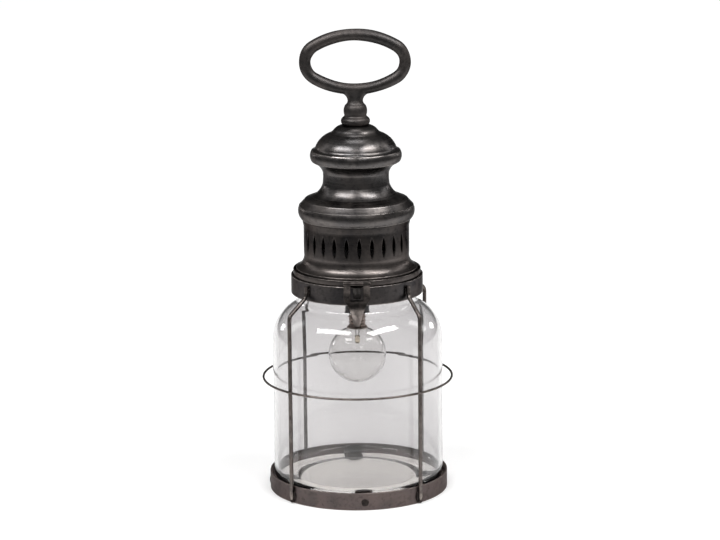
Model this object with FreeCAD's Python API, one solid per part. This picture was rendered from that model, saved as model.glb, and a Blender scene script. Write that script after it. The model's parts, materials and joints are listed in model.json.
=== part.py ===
# Stable lantern with a battery bulb: a spun vented hood with a cast ring handle, hinged on a collar
# that four wire posts carry above a base band; a glass jar stands in the cage, and a globe lamp hangs in it.
# Millimetres, +Z up, origin at the centre of the base band's lower edge, -Y is the front with the hasp.
import FreeCAD, Part
import math
import os

V = FreeCAD.Vector
UP = V(0, 0, 1)
ORIGIN = V(0, 0, 0)

# ---- driving dimensions -------------------------------------------------------------------------
# fits shared by the whole lantern
solder_gap = 0.05          # between pieces that are soldered or welded together
running_clearance = 0.05   # radial, round every pin that turns
body_gap = 0.3             # between pieces that move past each other

# base band and the four rests that carry the jar
base_radius = 69.5
base_height = 13.7
base_wall = 1.5
rest_width = 14.5
rest_thickness = 1.4
rest_length = 21.0         # inward reach of a rest, from the band's inner face
rest_underside = 1.2
rest_leg_height = 9.5
rest_count = 4
rest_turn = 4.0            # degrees that the rests stand round from the front
base_rivet_height = 6.2

# rivets
rivet_head_radius = 3.2
rivet_head_height = 0.6
rivet_shank_radius = 1.5
rivet_tail_radius = 2.3
rivet_tail_height = 0.6

# wire posts and guard ring
post_wire_radius = 1.55
post_foot_height = 0.5     # the wires stop short of the floor
post_knee_drop = 8.7       # from the collar's lower edge down to where the upright meets the slope
post_neck_rise = 3.3       # from the collar's lower edge up to where the slope meets the collar
post_top_drop = 2.45       # from the collar's upper edge down to the wire's end
post_bend_radius = 6.0
post_angles = {"post_front_left": (223.4, 222.6), "post_front_right": (312.1, 318.4),
               "post_rear_right": (41.2, 41.2), "post_rear_left": (128.2, 128.2)}   # at foot and collar
ring_wire_radius = 0.9
ring_height = 89.1

# collar band, neck guide and lamp plate
collar_radius = 51.1
collar_wall = 1.5
collar_bottom = 156.7
collar_height = 14.35
collar_edge_round = 0.4
guide_sheet = 0.9
guide_leg_height = 5.0
guide_width = 3.55         # of the channel ring, from the collar in towards the jar's neck
guide_neck_clearance = 0.4
plate_drop = 6.85          # from the collar's upper edge down to the lamp plate's underside
plate_thickness = 1.0
plate_edge_clearance = 0.6
plate_screw_count = 3
plate_screw_turn = 30.0    # degrees from the right-hand side to the first screw
plate_screw_head_radius = 1.1
plate_screw_head_height = 1.0
plate_screw_shank_radius = 0.65
plate_screw_tail = 2.5     # below the neck guide's sheet

# glass jar
jar_band_gap = 1.85        # between the jar's side and the base band
jar_wall = 2.6
jar_heel_radius = 12.0
jar_floor_thickness = 8.5
jar_push_up = 3.0          # rise of the floor in the middle
jar_floor_flat = 0.68      # share of the jar's radius where the push-up begins
jar_rim_gap = 1.6          # from the jar's mouth to the lamp plate
jar_neck_length = 10.3     # from the mouth down to where the neck begins to flare
jar_shoulder_round = 31.0  # radius of the shoulder's curve
jar_neck_round = 5.0       # radius of the hollow curve from shoulder to neck

# hood: sheet, then the radius and height of each spun form
hood_sheet = 0.9
cap_crown_height = 19.3    # from the rim's top to the handle's seat
cap_crown_radius = 17.1
cap_dome_drop = 10.1       # from the handle's seat down to the middle of the dome's curve
cap_dome_set_in = 3.1      # from the lip in to where the dome begins
cap_rim_bulge = 1.15       # how far the rim stands out over its lips
cap_lip_radius = 34.2      # where the rim rolls in, above and below
cap_rim_height = 8.45
cap_rim_widest = 3.25      # from the lower lip up to the rim's widest line
waist_radius = 25.5
waist_rise = 15.5          # from the shoulder up to the waist
cap_rise = 14.1            # from the waist up to the cap's lower lip
shoulder_set_in = 5.2      # from the cowl's rim in to the shoulder
shoulder_rise = 4.6        # over the cowl's rim
cowl_rim_bulge = 2.2       # how far the rim stands out over the lower lip
cowl_rim_roll = 1.0        # how far the rim's upper edge turns in
cowl_rim_height = 10.4
cowl_rim_widest = 6.0
cowl_overhang = 2.1        # from the drum out to the cowl's lower lip
seam_gap = 0.25            # between a spun rim and the flange inside it
seam_lap = 1.0             # how far a flange reaches up inside a rim

# gallery: drum with lens-shaped air slots, flared foot
drum_radius = 40.8
drum_height = 21.4
drum_rise = 15.6           # from the pan's floor up to the drum
cowl_rise = 5.65           # from the drum up to the cowl's lower lip
slot_count = 26
slot_height = 16.0
slot_width = 3.3
slot_rise = 10.5           # from the drum's lower end up to the slots' middle
slot_turn = 3.0            # degrees that the front slot stands off the front
slot_cut_depth = 4.0       # of the cutter, on each side of the drum's sheet
foot_gap = 1.5             # from the foot out to the pan's upturned rim
foot_crease_rise = 4.7     # from the pan's floor up to the crease
foot_crease_depth = 0.6
foot_cove_reach = 1.3 / 5.6    # the cove's middle, as a share of its way out
foot_cove_fall = 7.0 / 10.9    # and of its way down

# pan under the hood
pan_inset = 1.7            # from the collar's face in to the pan's rim
pan_sheet = 0.9
pan_seat_gap = 0.35        # over the collar's edge
pan_rim_height = 4.1
pan_ledge = 4.0            # floor inside the gallery's foot
skirt_depth = 3.8
skirt_clearance = 1.0      # inside the collar

# ring handle and its stud
loop_half_width = 38.35    # of the loop's centre line
loop_half_height = 21.0
loop_end_radius = 14.5
loop_section_radius = 4.7
loop_rise = 27.7           # from the cap's seat up to the loop's lowest centre line
stem_neck_radius = 5.9
stem_neck_rise = 18.7      # these three are from the cap's seat up to each form
stem_bulb_radius = 9.15
stem_bulb_rise = 11.3
stem_bead_radius = 11.3
stem_bead_rise = 2.6
saddle_half_width = 13.0   # where the neck spreads into the loop
stud_radius = 3.0
stud_bore_depth = 14.0
stud_tail = 9.0
nut_width = 10.0
nut_height = 4.0
washer_radius = 8.0
washer_thickness = 1.2

# rear hinge
hinge_knuckle_radius = 2.0
hinge_pin_radius = 1.2
hinge_pin_head = 1.8
hinge_middle_width = 8.0
hinge_side_width = 7.0
hinge_leaf_sheet = 0.95
hinge_leaf_overhang = 2.5
hinge_leaf_depth = 12.4
hinge_height_over_collar = 1.85
hinge_stand_off = 2.3      # pin axis behind the collar's outer face

# hasp and keeper
hasp_width = 20.3
hasp_sheet = 1.2
hasp_barrel_radius = 1.75
hasp_pin_radius = 1.0
hasp_middle_width = 9.3
hasp_height_over_collar = 3.25
hasp_strap_drop = 16.6     # from the pin to where the tongue turns out
hasp_tongue_drop = 15.6
hasp_tongue_reach = 9.0
hasp_tip_width = 5.6
hasp_throat_width = 14.8
hasp_taper_drop = 8.0      # from the tongue's throat down to where its sides straighten
window_drop = 13.8         # from the pin to the window's lower bar
keeper_width = 6.4
keeper_height = 9.4
keeper_reach = 3.2
keeper_slack = 0.9         # between the window's lower bar and the keeper's lip

# lamp holder
holder_radius = 9.3
holder_drop = 26.2         # from the lamp plate down to the holder's lower edge
holder_spring_room = 4.0   # over the lamp's tip
holder_shell_recess = 1.0  # from the holder's lower edge up to its shell
holder_lip_radius = 9.9
holder_lip_height = 1.2
holder_wall_gap = 0.1
nipple_radius = 5.0
nipple_height = 4.2
nipple_bore_radius = 3.2
holder_nut_width = 15.0
holder_nut_height = 2.6
shell_sheet = 0.5

# globe lamp
globe_radius = 22.5
globe_wall = 0.8
globe_neck_radius = 5.6
cap_flange_radius = 8.1
cap_shell_radius = 6.6
cap_flange_thickness = 1.0
cap_grip = 8.0             # how far the cap goes up into the holder
cap_length = 18.0
cap_sheet = 0.5
cap_flange_land = 0.75     # width of the flange's lower edge, which rests on the globe
cap_insulator_radius = 4.4
cap_insulator_height = 2.4
cap_tip_radius = 2.2
cap_tip_height = 1.6
globe_neck_flare = 1.2     # how much wider the globe's neck is where it leaves the ball
bead_radius = 1.85
bead_length = 6.6
bead_rise = 11.1           # over the globe's middle
stem_plug_depth = 2.5      # from the cap's lower edge up to the plug in the globe's neck
stem_plug_height = 3.2
lead_radius = 0.35
lead_set_in = 1.0          # how far the leads go into the bead
lead_tail = 1.3            # above the plug
lead_spacing = 2.0

# battery case
cell_radius = 5.25
cell_length = 44.5
cell_count = 3
cell_gap = 0.5
cell_nub_radius = 1.9
cell_nub_height = 0.8
contact_sheet = 0.4
contact_half_width = 3.0
contact_half_height = 4.0
contact_room = 2.2         # between a cell's end and the case's wall
case_wall = 1.6
case_leg_height = 4.4
case_leg_radius = 3.0
case_leg_inset = 0.8       # from a leg to the case's edge
switch_bay_length = 9.0
cover_thickness = 1.6
cover_lip_depth = 2.0
cover_lip_wall = 1.2
thumb_radius = 9.0
thumb_depth = 0.8
cover_clearance = 0.2
switch_travel = 6.0
switch_knob_length = 4.0
switch_knob_width = 2.6
switch_knob_height = 1.8
screw_head_radius = 2.4
screw_head_height = 1.2
screw_shank_radius = 1.2
screw_slot_width = 0.7
screw_slot_depth = 0.6

# ---- values worked out from those ---------------------------------------------------------------
base_inner = base_radius - base_wall
rest_top = rest_underside + rest_thickness
post_radius = base_radius + post_wire_radius + solder_gap
collar_inner = collar_radius - collar_wall
collar_top = collar_bottom + collar_height
post_collar_radius = collar_radius + post_wire_radius + solder_gap
plate_height = collar_top - plate_drop
plate_top = plate_height + plate_thickness
plate_radius = collar_inner - plate_edge_clearance
jar_radius = base_inner - jar_band_gap
jar_neck_radius = collar_inner - solder_gap - guide_width - guide_neck_clearance
jar_mouth = plate_height - jar_rim_gap
pan_radius = collar_radius - pan_inset
foot_radius = pan_radius - pan_sheet - foot_gap
pan_hole_radius = foot_radius - pan_ledge
pan_bottom = collar_top + pan_seat_gap
pan_floor_top = pan_bottom + pan_sheet
pan_rim_top = pan_bottom + pan_rim_height
skirt_radius = collar_inner - skirt_clearance
cowl_lip_radius = drum_radius + cowl_overhang
cowl_rim_radius = cowl_lip_radius + cowl_rim_bulge
shoulder_radius = cowl_rim_radius - shoulder_set_in
cap_rim_radius = cap_lip_radius + cap_rim_bulge
cap_dome_radius = cap_lip_radius - cap_dome_set_in
drum_bottom = pan_floor_top + drum_rise
drum_top = drum_bottom + drum_height
slot_middle_height = drum_bottom + slot_rise
foot_crease_height = pan_floor_top + foot_crease_rise
cowl_rim_bottom = drum_top + cowl_rise
cowl_rim_top = cowl_rim_bottom + cowl_rim_height
shoulder_height = cowl_rim_top + shoulder_rise
waist_height = shoulder_height + waist_rise
cap_rim_bottom = waist_height + cap_rise
cap_rim_top = cap_rim_bottom + cap_rim_height
cap_top_height = cap_rim_top + cap_crown_height
loop_bottom_height = cap_top_height + loop_rise
hinge_y = collar_radius + hinge_stand_off
hinge_z = collar_top + hinge_height_over_collar
hasp_y = -(collar_radius + body_gap + hasp_barrel_radius)
hasp_z = collar_top + hasp_height_over_collar
holder_bottom = plate_height - holder_drop
cap_shell_top = holder_bottom + cap_grip
cap_flange_bottom = cap_shell_top - cap_length
cap_flange_inner = cap_flange_radius - cap_flange_land
globe_middle_height = cap_flange_bottom - solder_gap - math.sqrt(globe_radius ** 2 - cap_flange_inner ** 2)
globe_foot = globe_middle_height + math.sqrt(globe_radius ** 2 - (globe_neck_radius + globe_neck_flare) ** 2)
bead_middle_height = globe_middle_height + bead_rise
cap_tip_top = cap_shell_top + cap_insulator_height + cap_tip_height
holder_roof = cap_tip_top + holder_spring_room
plate_screw_circle = (jar_neck_radius + guide_neck_clearance + collar_inner) / 2
case_bottom = plate_top + case_leg_height
cell_axis_height = case_bottom + case_wall + cell_radius + cell_gap / 2
case_top = cell_axis_height + cell_radius + cover_lip_depth + cover_clearance
case_inner_width = cell_count * (2 * cell_radius + cell_gap) + cell_gap
case_width = case_inner_width + 2 * case_wall
cell_bay_length = cell_length + cell_nub_height + 2 * contact_room
case_length = cell_bay_length + switch_bay_length + 3 * case_wall


# ---- forming operations --------------------------------------------------------------------------
def profile(start, *steps):
    """Wire in the XZ plane: a pair (r, z) is a straight run, two pairs are an arc by a point to an end."""
    here = V(start[0], 0, start[1])
    edges = []
    for step in steps:
        if isinstance(step[0], tuple):
            by = V(step[0][0], 0, step[0][1])
            end = V(step[1][0], 0, step[1][1])
            edges.append(Part.Arc(here, by, end).toShape())
        else:
            end = V(step[0], 0, step[1])
            edges.append(Part.LineSegment(here, end).toShape())
        here = end
    return Part.Wire(edges)


def spin(wire):
    """Solid of revolution of a closed profile about the lantern's axis."""
    return Part.Face(wire).revolve(ORIGIN, UP, 360)


def spun_sheet(wall, start, *steps):
    """Sheet-metal spinning: the open profile is the outer skin, the wall lies on its inner side."""
    skin = profile(start, *steps).Edges
    inward = [[wall_side(edge, at) for at in (0.0, 0.5, 1.0)] for edge in skin]
    corners = [inward[0][0]]
    for before, after in zip(inward, inward[1:]):
        corners.append((before[2] + after[0]) * (1.0 / (1.0 + before[2].dot(after[0]))))
    corners.append(inward[-1][2])
    inner = []
    for edge, sides, first, last in zip(skin, inward, corners, corners[1:]):
        a, b = edge_point(edge, 0.0) + first * wall, edge_point(edge, 1.0) + last * wall
        if isinstance(edge.Curve, Part.Line):
            inner.append(Part.LineSegment(b, a).toShape())
        else:
            inner.append(Part.Arc(b, edge_point(edge, 0.5) + sides[1] * wall, a).toShape())
    inner.reverse()
    lips = [Part.LineSegment(edge_point(skin[-1], 1.0), inner[0].firstVertex(True).Point).toShape(),
            Part.LineSegment(inner[-1].lastVertex(True).Point, edge_point(skin[0], 0.0)).toShape()]
    return spin(Part.Wire(skin + [lips[0]] + inner + [lips[1]]))


def on_dome(r, rim_radius, rim_height, rise):
    """Point (r, z) of a shallow dome centred on the axis: rim_radius wide, rise high in the middle."""
    ball = (rim_radius ** 2 + rise ** 2) / (2 * rise)
    return r, rim_height + rise - ball + math.sqrt(ball ** 2 - r ** 2)


def edge_point(edge, share):
    """Point at a share of an edge's way along."""
    return edge.valueAt(edge.FirstParameter + share * (edge.LastParameter - edge.FirstParameter))


def wall_side(edge, share):
    """Unit vector square to a profile edge, on the side where a spun sheet has its wall."""
    way = edge.tangentAt(edge.FirstParameter + share * (edge.LastParameter - edge.FirstParameter))
    return V(way.z, 0, -way.x)


def tube(r_out, r_in, z_low, z_high):
    """Plain ring about the lantern's axis."""
    outer = Part.makeCylinder(r_out, z_high - z_low, V(0, 0, z_low))
    return outer.cut(Part.makeCylinder(r_in, z_high - z_low + 2, V(0, 0, z_low - 1)))


def rod(radius, start, end):
    """Round bar between two points."""
    return Part.makeCylinder(radius, (end - start).Length, start, end - start)


def block(x0, x1, y0, y1, z0, z1):
    """Box by its limits."""
    return Part.makeBox(x1 - x0, y1 - y0, z1 - z0, V(x0, y0, z0))


def prism(points, normal):
    """Extrusion of a closed polygon along a vector."""
    return Part.Face(Part.makePolygon(points + [points[0]])).extrude(normal)


def turned(shape, degrees):
    """Copy of a shape turned about the lantern's axis."""
    copy = shape.copy()
    copy.rotate(ORIGIN, UP, degrees)
    return copy


def sector(r_out, r_in, z_low, z_high, half_width, side):
    """Curved leaf: the part of a ring within half_width of the YZ plane, on the +Y or -Y side."""
    y0, y1 = (0, r_out + 1) if side > 0 else (-r_out - 1, 0)
    return tube(r_out, r_in, z_low, z_high).common(block(-half_width, half_width, y0, y1, z_low, z_high))


def hexagon(across_flats, z_low, height):
    """Hexagonal bar about the lantern's axis."""
    corner = across_flats / math.sqrt(3)
    ends = [V(corner * math.cos(math.radians(60 * k)), corner * math.sin(math.radians(60 * k)), z_low)
            for k in range(6)]
    return prism(ends, V(0, 0, height))


# ---- base and cage -------------------------------------------------------------------------------
def rivet(face_radius, grip, height):
    """Round-head rivet along -Y: domed head outside face_radius, shank over the grip, set tail inside."""
    dome_radius = (rivet_head_radius ** 2 + rivet_head_height ** 2) / (2 * rivet_head_height)
    ball = Part.makeSphere(dome_radius, V(0, -(face_radius + rivet_head_height - dome_radius), height))
    head = ball.common(block(-dome_radius, dome_radius,
                             -(face_radius + 2 * dome_radius), -(face_radius + solder_gap),
                             height - dome_radius, height + dome_radius))
    inner = face_radius - grip
    shank = rod(rivet_shank_radius, V(0, -inner, height), V(0, -(face_radius + solder_gap), height))
    tail = rod(rivet_tail_radius, V(0, -(inner - rivet_tail_height), height), V(0, -inner, height))
    return head.fuse([shank, tail]).removeSplitter()


def base_band():
    band = tube(base_radius, base_inner, 0, base_height)
    hole = rod(rivet_shank_radius + solder_gap, V(0, -base_inner + 5, base_rivet_height),
               V(0, -base_radius - 5, base_rivet_height))
    return band.cut([turned(hole, angle) for angle in rest_angles()])


def rest_angles():
    return [rest_turn + 360.0 / rest_count * k for k in range(rest_count)]


def jar_rest():
    """Bent strap: an upright riveted to the band, and a foot with a round end that the jar stands on."""
    back = base_inner - solder_gap
    half = rest_width / 2
    round_end = V(0, -(back - rest_length + half), rest_underside)
    foot = block(-half, half, -back, round_end.y, rest_underside, rest_top)
    foot = foot.fuse(Part.makeCylinder(half, rest_thickness, round_end))
    leg = sector(back, back - rest_thickness, rest_underside, rest_underside + rest_leg_height, half, -1)
    strap = foot.common(Part.makeCylinder(back, base_height, ORIGIN)).fuse(leg)
    hole = rod(rivet_shank_radius + solder_gap, V(0, -back - 2, base_rivet_height),
               V(0, -back + 6, base_rivet_height))
    return strap.removeSplitter().cut(hole)


def rest_rivets():
    one = rivet(base_radius, base_wall + solder_gap + rest_thickness + solder_gap, base_rivet_height)
    return Part.makeCompound([turned(one, angle) for angle in rest_angles()])


def post(foot_angle, collar_angle):
    """One cage wire: upright on the base band, sloping in to the collar, then upright against it."""
    corners = [(post_radius, foot_angle, post_foot_height),
               (post_radius, foot_angle, collar_bottom - post_knee_drop),
               (post_collar_radius, collar_angle, collar_bottom + post_neck_rise),
               (post_collar_radius, collar_angle, collar_top - post_top_drop)]
    path = rounded_path([around(*corner) for corner in corners], post_bend_radius)
    section = Part.Wire(Part.makeCircle(post_wire_radius, around(*corners[0]), UP))
    return path.makePipeShell([section], True, False)


def around(radius, degrees, height):
    """Point by its distance from the axis, its angle and its height."""
    angle = math.radians(degrees)
    return V(radius * math.cos(angle), radius * math.sin(angle), height)


def rounded_path(points, radius):
    """Straight runs joined by tangent arcs of one radius."""
    edges = []
    here = points[0]
    for before, corner, after in zip(points, points[1:], points[2:]):
        back = (before - corner).normalize()
        ahead = (after - corner).normalize()
        half_turn = (math.pi - back.getAngle(ahead)) / 2
        setback = radius * math.tan(half_turn)
        first = corner + back * setback
        last = corner + ahead * setback
        middle_way = (back + ahead).normalize()
        middle = corner + middle_way * (radius / math.cos(half_turn) - radius)
        edges.append(Part.LineSegment(here, first).toShape())
        edges.append(Part.Arc(first, middle, last).toShape())
        here = last
    edges.append(Part.LineSegment(here, points[-1]).toShape())
    return Part.Wire(edges)


def guard_ring():
    ring_radius = post_radius + post_wire_radius + ring_wire_radius + solder_gap
    return Part.makeTorus(ring_radius, ring_wire_radius, V(0, 0, ring_height), UP)


def collar_band():
    r_in, r_out, cut = collar_inner, collar_radius, collar_edge_round
    return spin(profile((r_in, collar_bottom), (r_out, collar_bottom), (r_out, collar_top - cut),
                        ((r_out - 0.3 * cut, collar_top - 0.3 * cut), (r_out - cut, collar_top)),
                        (r_in, collar_top), (r_in, collar_bottom)))


def neck_guide():
    """Channel ring soldered in the collar: it centres the jar's neck and carries the lamp plate."""
    outer = collar_inner - solder_gap
    inner = jar_neck_radius + guide_neck_clearance
    low = plate_height - guide_leg_height
    t = guide_sheet
    ring = spin(profile((inner, low), (inner + t, low), (inner + t, plate_height - t),
                        (outer - t, plate_height - t), (outer - t, low), (outer, low),
                        (outer, plate_height), (inner, plate_height), (inner, low)))
    return ring.cut(plate_screw_holes())


def glass_jar():
    """Blown jar of even wall: pushed-up base, round heel, straight side, round shoulder, plain neck."""
    r, t, n = jar_radius, jar_wall, jar_neck_radius
    z0, zm, zn = rest_top, jar_mouth, jar_mouth - jar_neck_length
    heel, k = jar_heel_radius, jar_heel_radius * (1 - math.sqrt(0.5))
    floor = z0 + jar_floor_thickness
    flat, rise = jar_floor_flat * r, jar_push_up
    across = (n + jar_neck_round) - (r - jar_shoulder_round)
    lean = math.degrees(math.acos(across / (jar_shoulder_round + jar_neck_round)))
    zs = zn - (jar_shoulder_round + jar_neck_round) * math.sin(math.radians(lean))
    outer = [((r - k, z0 + k), (r, z0 + heel)), (r, zs)]
    outer += jar_turns(0, lean, zs, zn)
    outer += [(n, zm - t / 2), ((n - 0.15 * t, zm - 0.15 * t), (n - t / 2, zm)),
              ((n - 0.85 * t, zm - 0.15 * t), (n - t, zm - t / 2))]
    turns = jar_turns(t, lean, zs, zn)
    inner = [(n - t, zn), (turns[1][0], turns[0][1]), (turns[0][0], (r - t, zs)),
             (r - t, floor + heel - t),
             ((r - t - 0.29 * (heel - t), floor + 0.29 * (heel - t)), (r - heel, floor)),
             (flat, floor), (on_dome(flat / 2, flat, floor, rise), on_dome(0, flat, floor, rise)),
             on_dome(0, flat, z0, rise), (on_dome(flat / 2, flat, z0, rise), (flat, z0)), (r - heel, z0)]
    return spin(profile((r - heel, z0), *(outer + inner)))


def jar_turns(depth, lean, shoulder_height, neck_height):
    """The shoulder's round curve and the neck's hollow one, tangent, a depth inside the outer skin."""
    turns = []
    for centre_r, centre_z, radius, angles in (
            (jar_radius - jar_shoulder_round, shoulder_height, jar_shoulder_round - depth, (lean / 2, lean)),
            (jar_neck_radius + jar_neck_round, neck_height, jar_neck_round + depth,
             (180 + lean / 2, 180))):
        turns.append(tuple((centre_r + radius * math.cos(math.radians(a)),
                            centre_z + radius * math.sin(math.radians(a))) for a in angles))
    return turns


# ---- lamp plate, holder and lamp -------------------------------------------------------------------
def plate_screw_places():
    step = 360.0 / plate_screw_count
    angles = [math.radians(plate_screw_turn + step * k) for k in range(plate_screw_count)]
    return [V(plate_screw_circle * math.cos(a), plate_screw_circle * math.sin(a), 0) for a in angles]


def plate_screws():
    """Small screws through the plate into the neck guide; with them out the plate lifts the lamp out."""
    low = plate_height - guide_sheet - plate_screw_tail
    screws = []
    for place in plate_screw_places():
        head = Part.makeCylinder(plate_screw_head_radius, plate_screw_head_height, place + V(0, 0, plate_top))
        shank = Part.makeCylinder(plate_screw_shank_radius, plate_top - low, place + V(0, 0, low))
        screws.append(head.fuse(shank).removeSplitter())
    return Part.makeCompound(screws)


def plate_screw_holes():
    low = V(0, 0, plate_height - guide_leg_height)
    return [Part.makeCylinder(plate_screw_shank_radius + solder_gap, 2 * guide_leg_height, place + low)
            for place in plate_screw_places()]


def case_leg_places():
    x0, x1 = case_x_limits()
    dx = case_leg_radius + case_leg_inset
    dy = case_width / 2 - case_leg_radius - case_leg_inset
    return [V(x, y, 0) for x in (x0 + dx, x1 - dx) for y in (-dy, dy)]


def lamp_plate():
    plate = Part.makeCylinder(plate_radius, plate_thickness, V(0, 0, plate_height))
    under = V(0, 0, plate_height - plate_thickness)
    holes = [Part.makeCylinder(nipple_radius + solder_gap, 3 * plate_thickness, under)]
    for place in case_leg_places():
        holes.append(Part.makeCylinder(screw_shank_radius + solder_gap, 3 * plate_thickness, place + under))
    return plate.cut(holes + plate_screw_holes())


def lamp_holder():
    """Moulded holder: a slim sleeve with a rolled lip, its roof and the threaded nipple in the plate."""
    r, lip, low = holder_radius, holder_lip_radius, holder_bottom
    bore = cap_shell_radius + running_clearance + shell_sheet + holder_wall_gap
    roof = holder_roof
    shoulder = plate_height
    return spin(profile((bore, low), (lip, low), (lip, low + holder_lip_height), (r, low + holder_lip_height),
                        (r, roof), ((r - 0.6, roof + 3.0), (r - 2.4, roof + 5.0)), (r - 2.4, shoulder),
                        (nipple_radius, shoulder), (nipple_radius, plate_top + nipple_height),
                        (nipple_bore_radius, plate_top + nipple_height), (nipple_bore_radius, roof),
                        (bore, roof), (bore, low)))


def holder_nut():
    nut = hexagon(holder_nut_width, plate_top, holder_nut_height)
    return nut.cut(Part.makeCylinder(nipple_radius + solder_gap, 3 * holder_nut_height,
                                     V(0, 0, plate_top - holder_nut_height)))


def holder_shell():
    """Thin threaded sleeve of the holder, which the lamp's cap screws into."""
    inner = cap_shell_radius + running_clearance
    return tube(inner + shell_sheet, inner, holder_bottom + holder_shell_recess, cap_shell_top)


def holder_contact():
    """Sprung tongue that the lamp's tip presses on, riveted in the holder's roof."""
    low = cap_tip_top
    reach = cap_insulator_radius + 0.6
    tongue = block(-cap_tip_radius, cap_tip_radius, -0.75 * cap_tip_radius, reach, low, low + contact_sheet)
    riser = block(-cap_tip_radius, cap_tip_radius, reach - contact_sheet, reach, low, holder_roof)
    return tongue.fuse(riser).removeSplitter()


def globe():
    """Blown globe with a short neck that goes up into the lamp cap."""
    c, r, t, n = globe_middle_height, globe_radius, globe_wall, globe_neck_radius
    wide = n + globe_neck_flare
    narrow = wide - 0.75 * t
    inner_foot = c + math.sqrt((r - t) ** 2 - narrow ** 2)
    top = cap_flange_bottom + stem_plug_depth + stem_plug_height + 0.3
    return spin(profile((0, c - r), ((r, c), (wide, globe_foot)),
                        ((n + 0.25, globe_foot + 0.7), (n, globe_foot + 1.6)), (n, top),
                        (n - t, top), (n - t, inner_foot + 2.2),
                        ((n - 0.6 * t, inner_foot + 1.0), (narrow, inner_foot)),
                        ((r - t, c), (0, c - r + t)), (0, c - r)))


def lamp_cap():
    """Pressed screw cap with a flared skirt over the globe's neck."""
    f, s, t = cap_flange_radius, cap_shell_radius, cap_sheet
    z0, z1 = cap_flange_bottom, cap_shell_top
    low = z0 + cap_flange_thickness
    return spin(profile((f, z0), (f, low), (s, low + 1.2), (s, z1 - 0.6), (s - 1.2, z1),
                        (cap_insulator_radius, z1), (cap_insulator_radius, z1 - t), (s - 1.2 - t / 2, z1 - t),
                        (s - t, z1 - 0.6 - t), (s - t, low + 1.4), (f - 1.1, low - 0.1),
                        (cap_flange_inner, z0), (f, z0)))


def lamp_insulator():
    z1 = cap_shell_top
    r = cap_insulator_radius - solder_gap
    top = z1 + cap_insulator_height
    return spin(profile((0, z1 - cap_sheet), (r, z1 - cap_sheet), (r, z1 + 0.4),
                        ((0.78 * r, z1 + 0.75 * cap_insulator_height), (cap_tip_radius, top)), (0, top),
                        (0, z1 - cap_sheet)))


def lamp_tip():
    z0 = cap_shell_top + cap_insulator_height
    return spin(profile((0, z0), (cap_tip_radius, z0), (cap_tip_radius, z0 + 0.7),
                        ((0.8 * cap_tip_radius, cap_tip_top - 0.2), (0.5 * cap_tip_radius, cap_tip_top)),
                        (0, cap_tip_top), (0, z0)))


def lamp_stem():
    """Moulded plug that closes the globe's neck and carries the two leads."""
    r = globe_neck_radius - globe_wall - solder_gap
    low = cap_flange_bottom + stem_plug_depth
    plug = Part.makeCylinder(r, stem_plug_height, V(0, 0, low))
    holes = [Part.makeCylinder(lead_radius + solder_gap, 3 * stem_plug_height,
                               V(side * lead_spacing / 2, 0, low - stem_plug_height)) for side in (-1, 1)]
    return plug.cut(holes)


def lamp_leads():
    low = bead_middle_height + bead_length / 2 - lead_set_in
    high = cap_flange_bottom + stem_plug_depth + stem_plug_height + lead_tail
    return Part.makeCompound([rod(lead_radius, V(side * lead_spacing / 2, 0, low),
                                  V(side * lead_spacing / 2, 0, high)) for side in (-1, 1)])


def lamp_bead():
    """Clear capsule of the light source, with bores for the leads."""
    r, half = bead_radius, bead_length / 2
    c = bead_middle_height
    body = spin(profile((0, c - half), ((0.71 * r, c - half + 0.29 * r), (r, c - half + r)),
                        (r, c + half - 0.5), (r - 0.5, c + half), (0, c + half), (0, c - half)))
    holes = [Part.makeCylinder(lead_radius + solder_gap, bead_length,
                               V(side * lead_spacing / 2, 0, c + half - lead_set_in)) for side in (-1, 1)]
    return body.cut(holes)


# ---- battery case ----------------------------------------------------------------------------------
def case_x_limits():
    return -case_length / 2, case_length / 2


def bay_limits():
    """Lowest and highest X of the cell bay's inside."""
    x0 = case_x_limits()[0] + case_wall
    return x0, x0 + cell_bay_length


def battery_case():
    """Moulded box on four legs: a cell bay that opens upwards, and a roofed bay for the timer switch."""
    x0, x1 = case_x_limits()
    w = case_width / 2
    box = block(x0, x1, -w, w, case_bottom, case_top)
    box = box.makeFillet(2.0, [e for e in box.Edges if abs(e.tangentAt(e.FirstParameter).z) > 0.9])
    bay = block(bay_limits()[0], bay_limits()[1], -w + case_wall, w - case_wall,
                case_bottom + case_wall, case_top + 1)
    sx0 = bay_limits()[1] + case_wall
    switch_bay = block(sx0, x1 - case_wall, -w + case_wall, w - case_wall, case_bottom + case_wall,
                       case_top - case_wall)
    sx = (sx0 + x1 - case_wall) / 2
    slot = block(sx - switch_knob_width / 2 - cover_clearance, sx + switch_knob_width / 2 + cover_clearance,
                 switch_y_limits()[0] - cover_clearance, switch_y_limits()[1] + cover_clearance,
                 case_top - case_wall - 1, case_top + 1)
    legs = [Part.makeCylinder(case_leg_radius, case_leg_height, place + V(0, 0, plate_top))
            for place in case_leg_places()]
    holes = [Part.makeCylinder(screw_shank_radius + solder_gap, case_leg_height + solder_gap,
                               place + V(0, 0, plate_top)) for place in case_leg_places()]
    return box.fuse(legs).removeSplitter().cut([bay, switch_bay, slot] + holes)


def switch_y_limits():
    """The switch slot's ends along Y, the knob's length and its travel apart."""
    half = (switch_knob_length + switch_travel) / 2
    return -half, half


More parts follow.
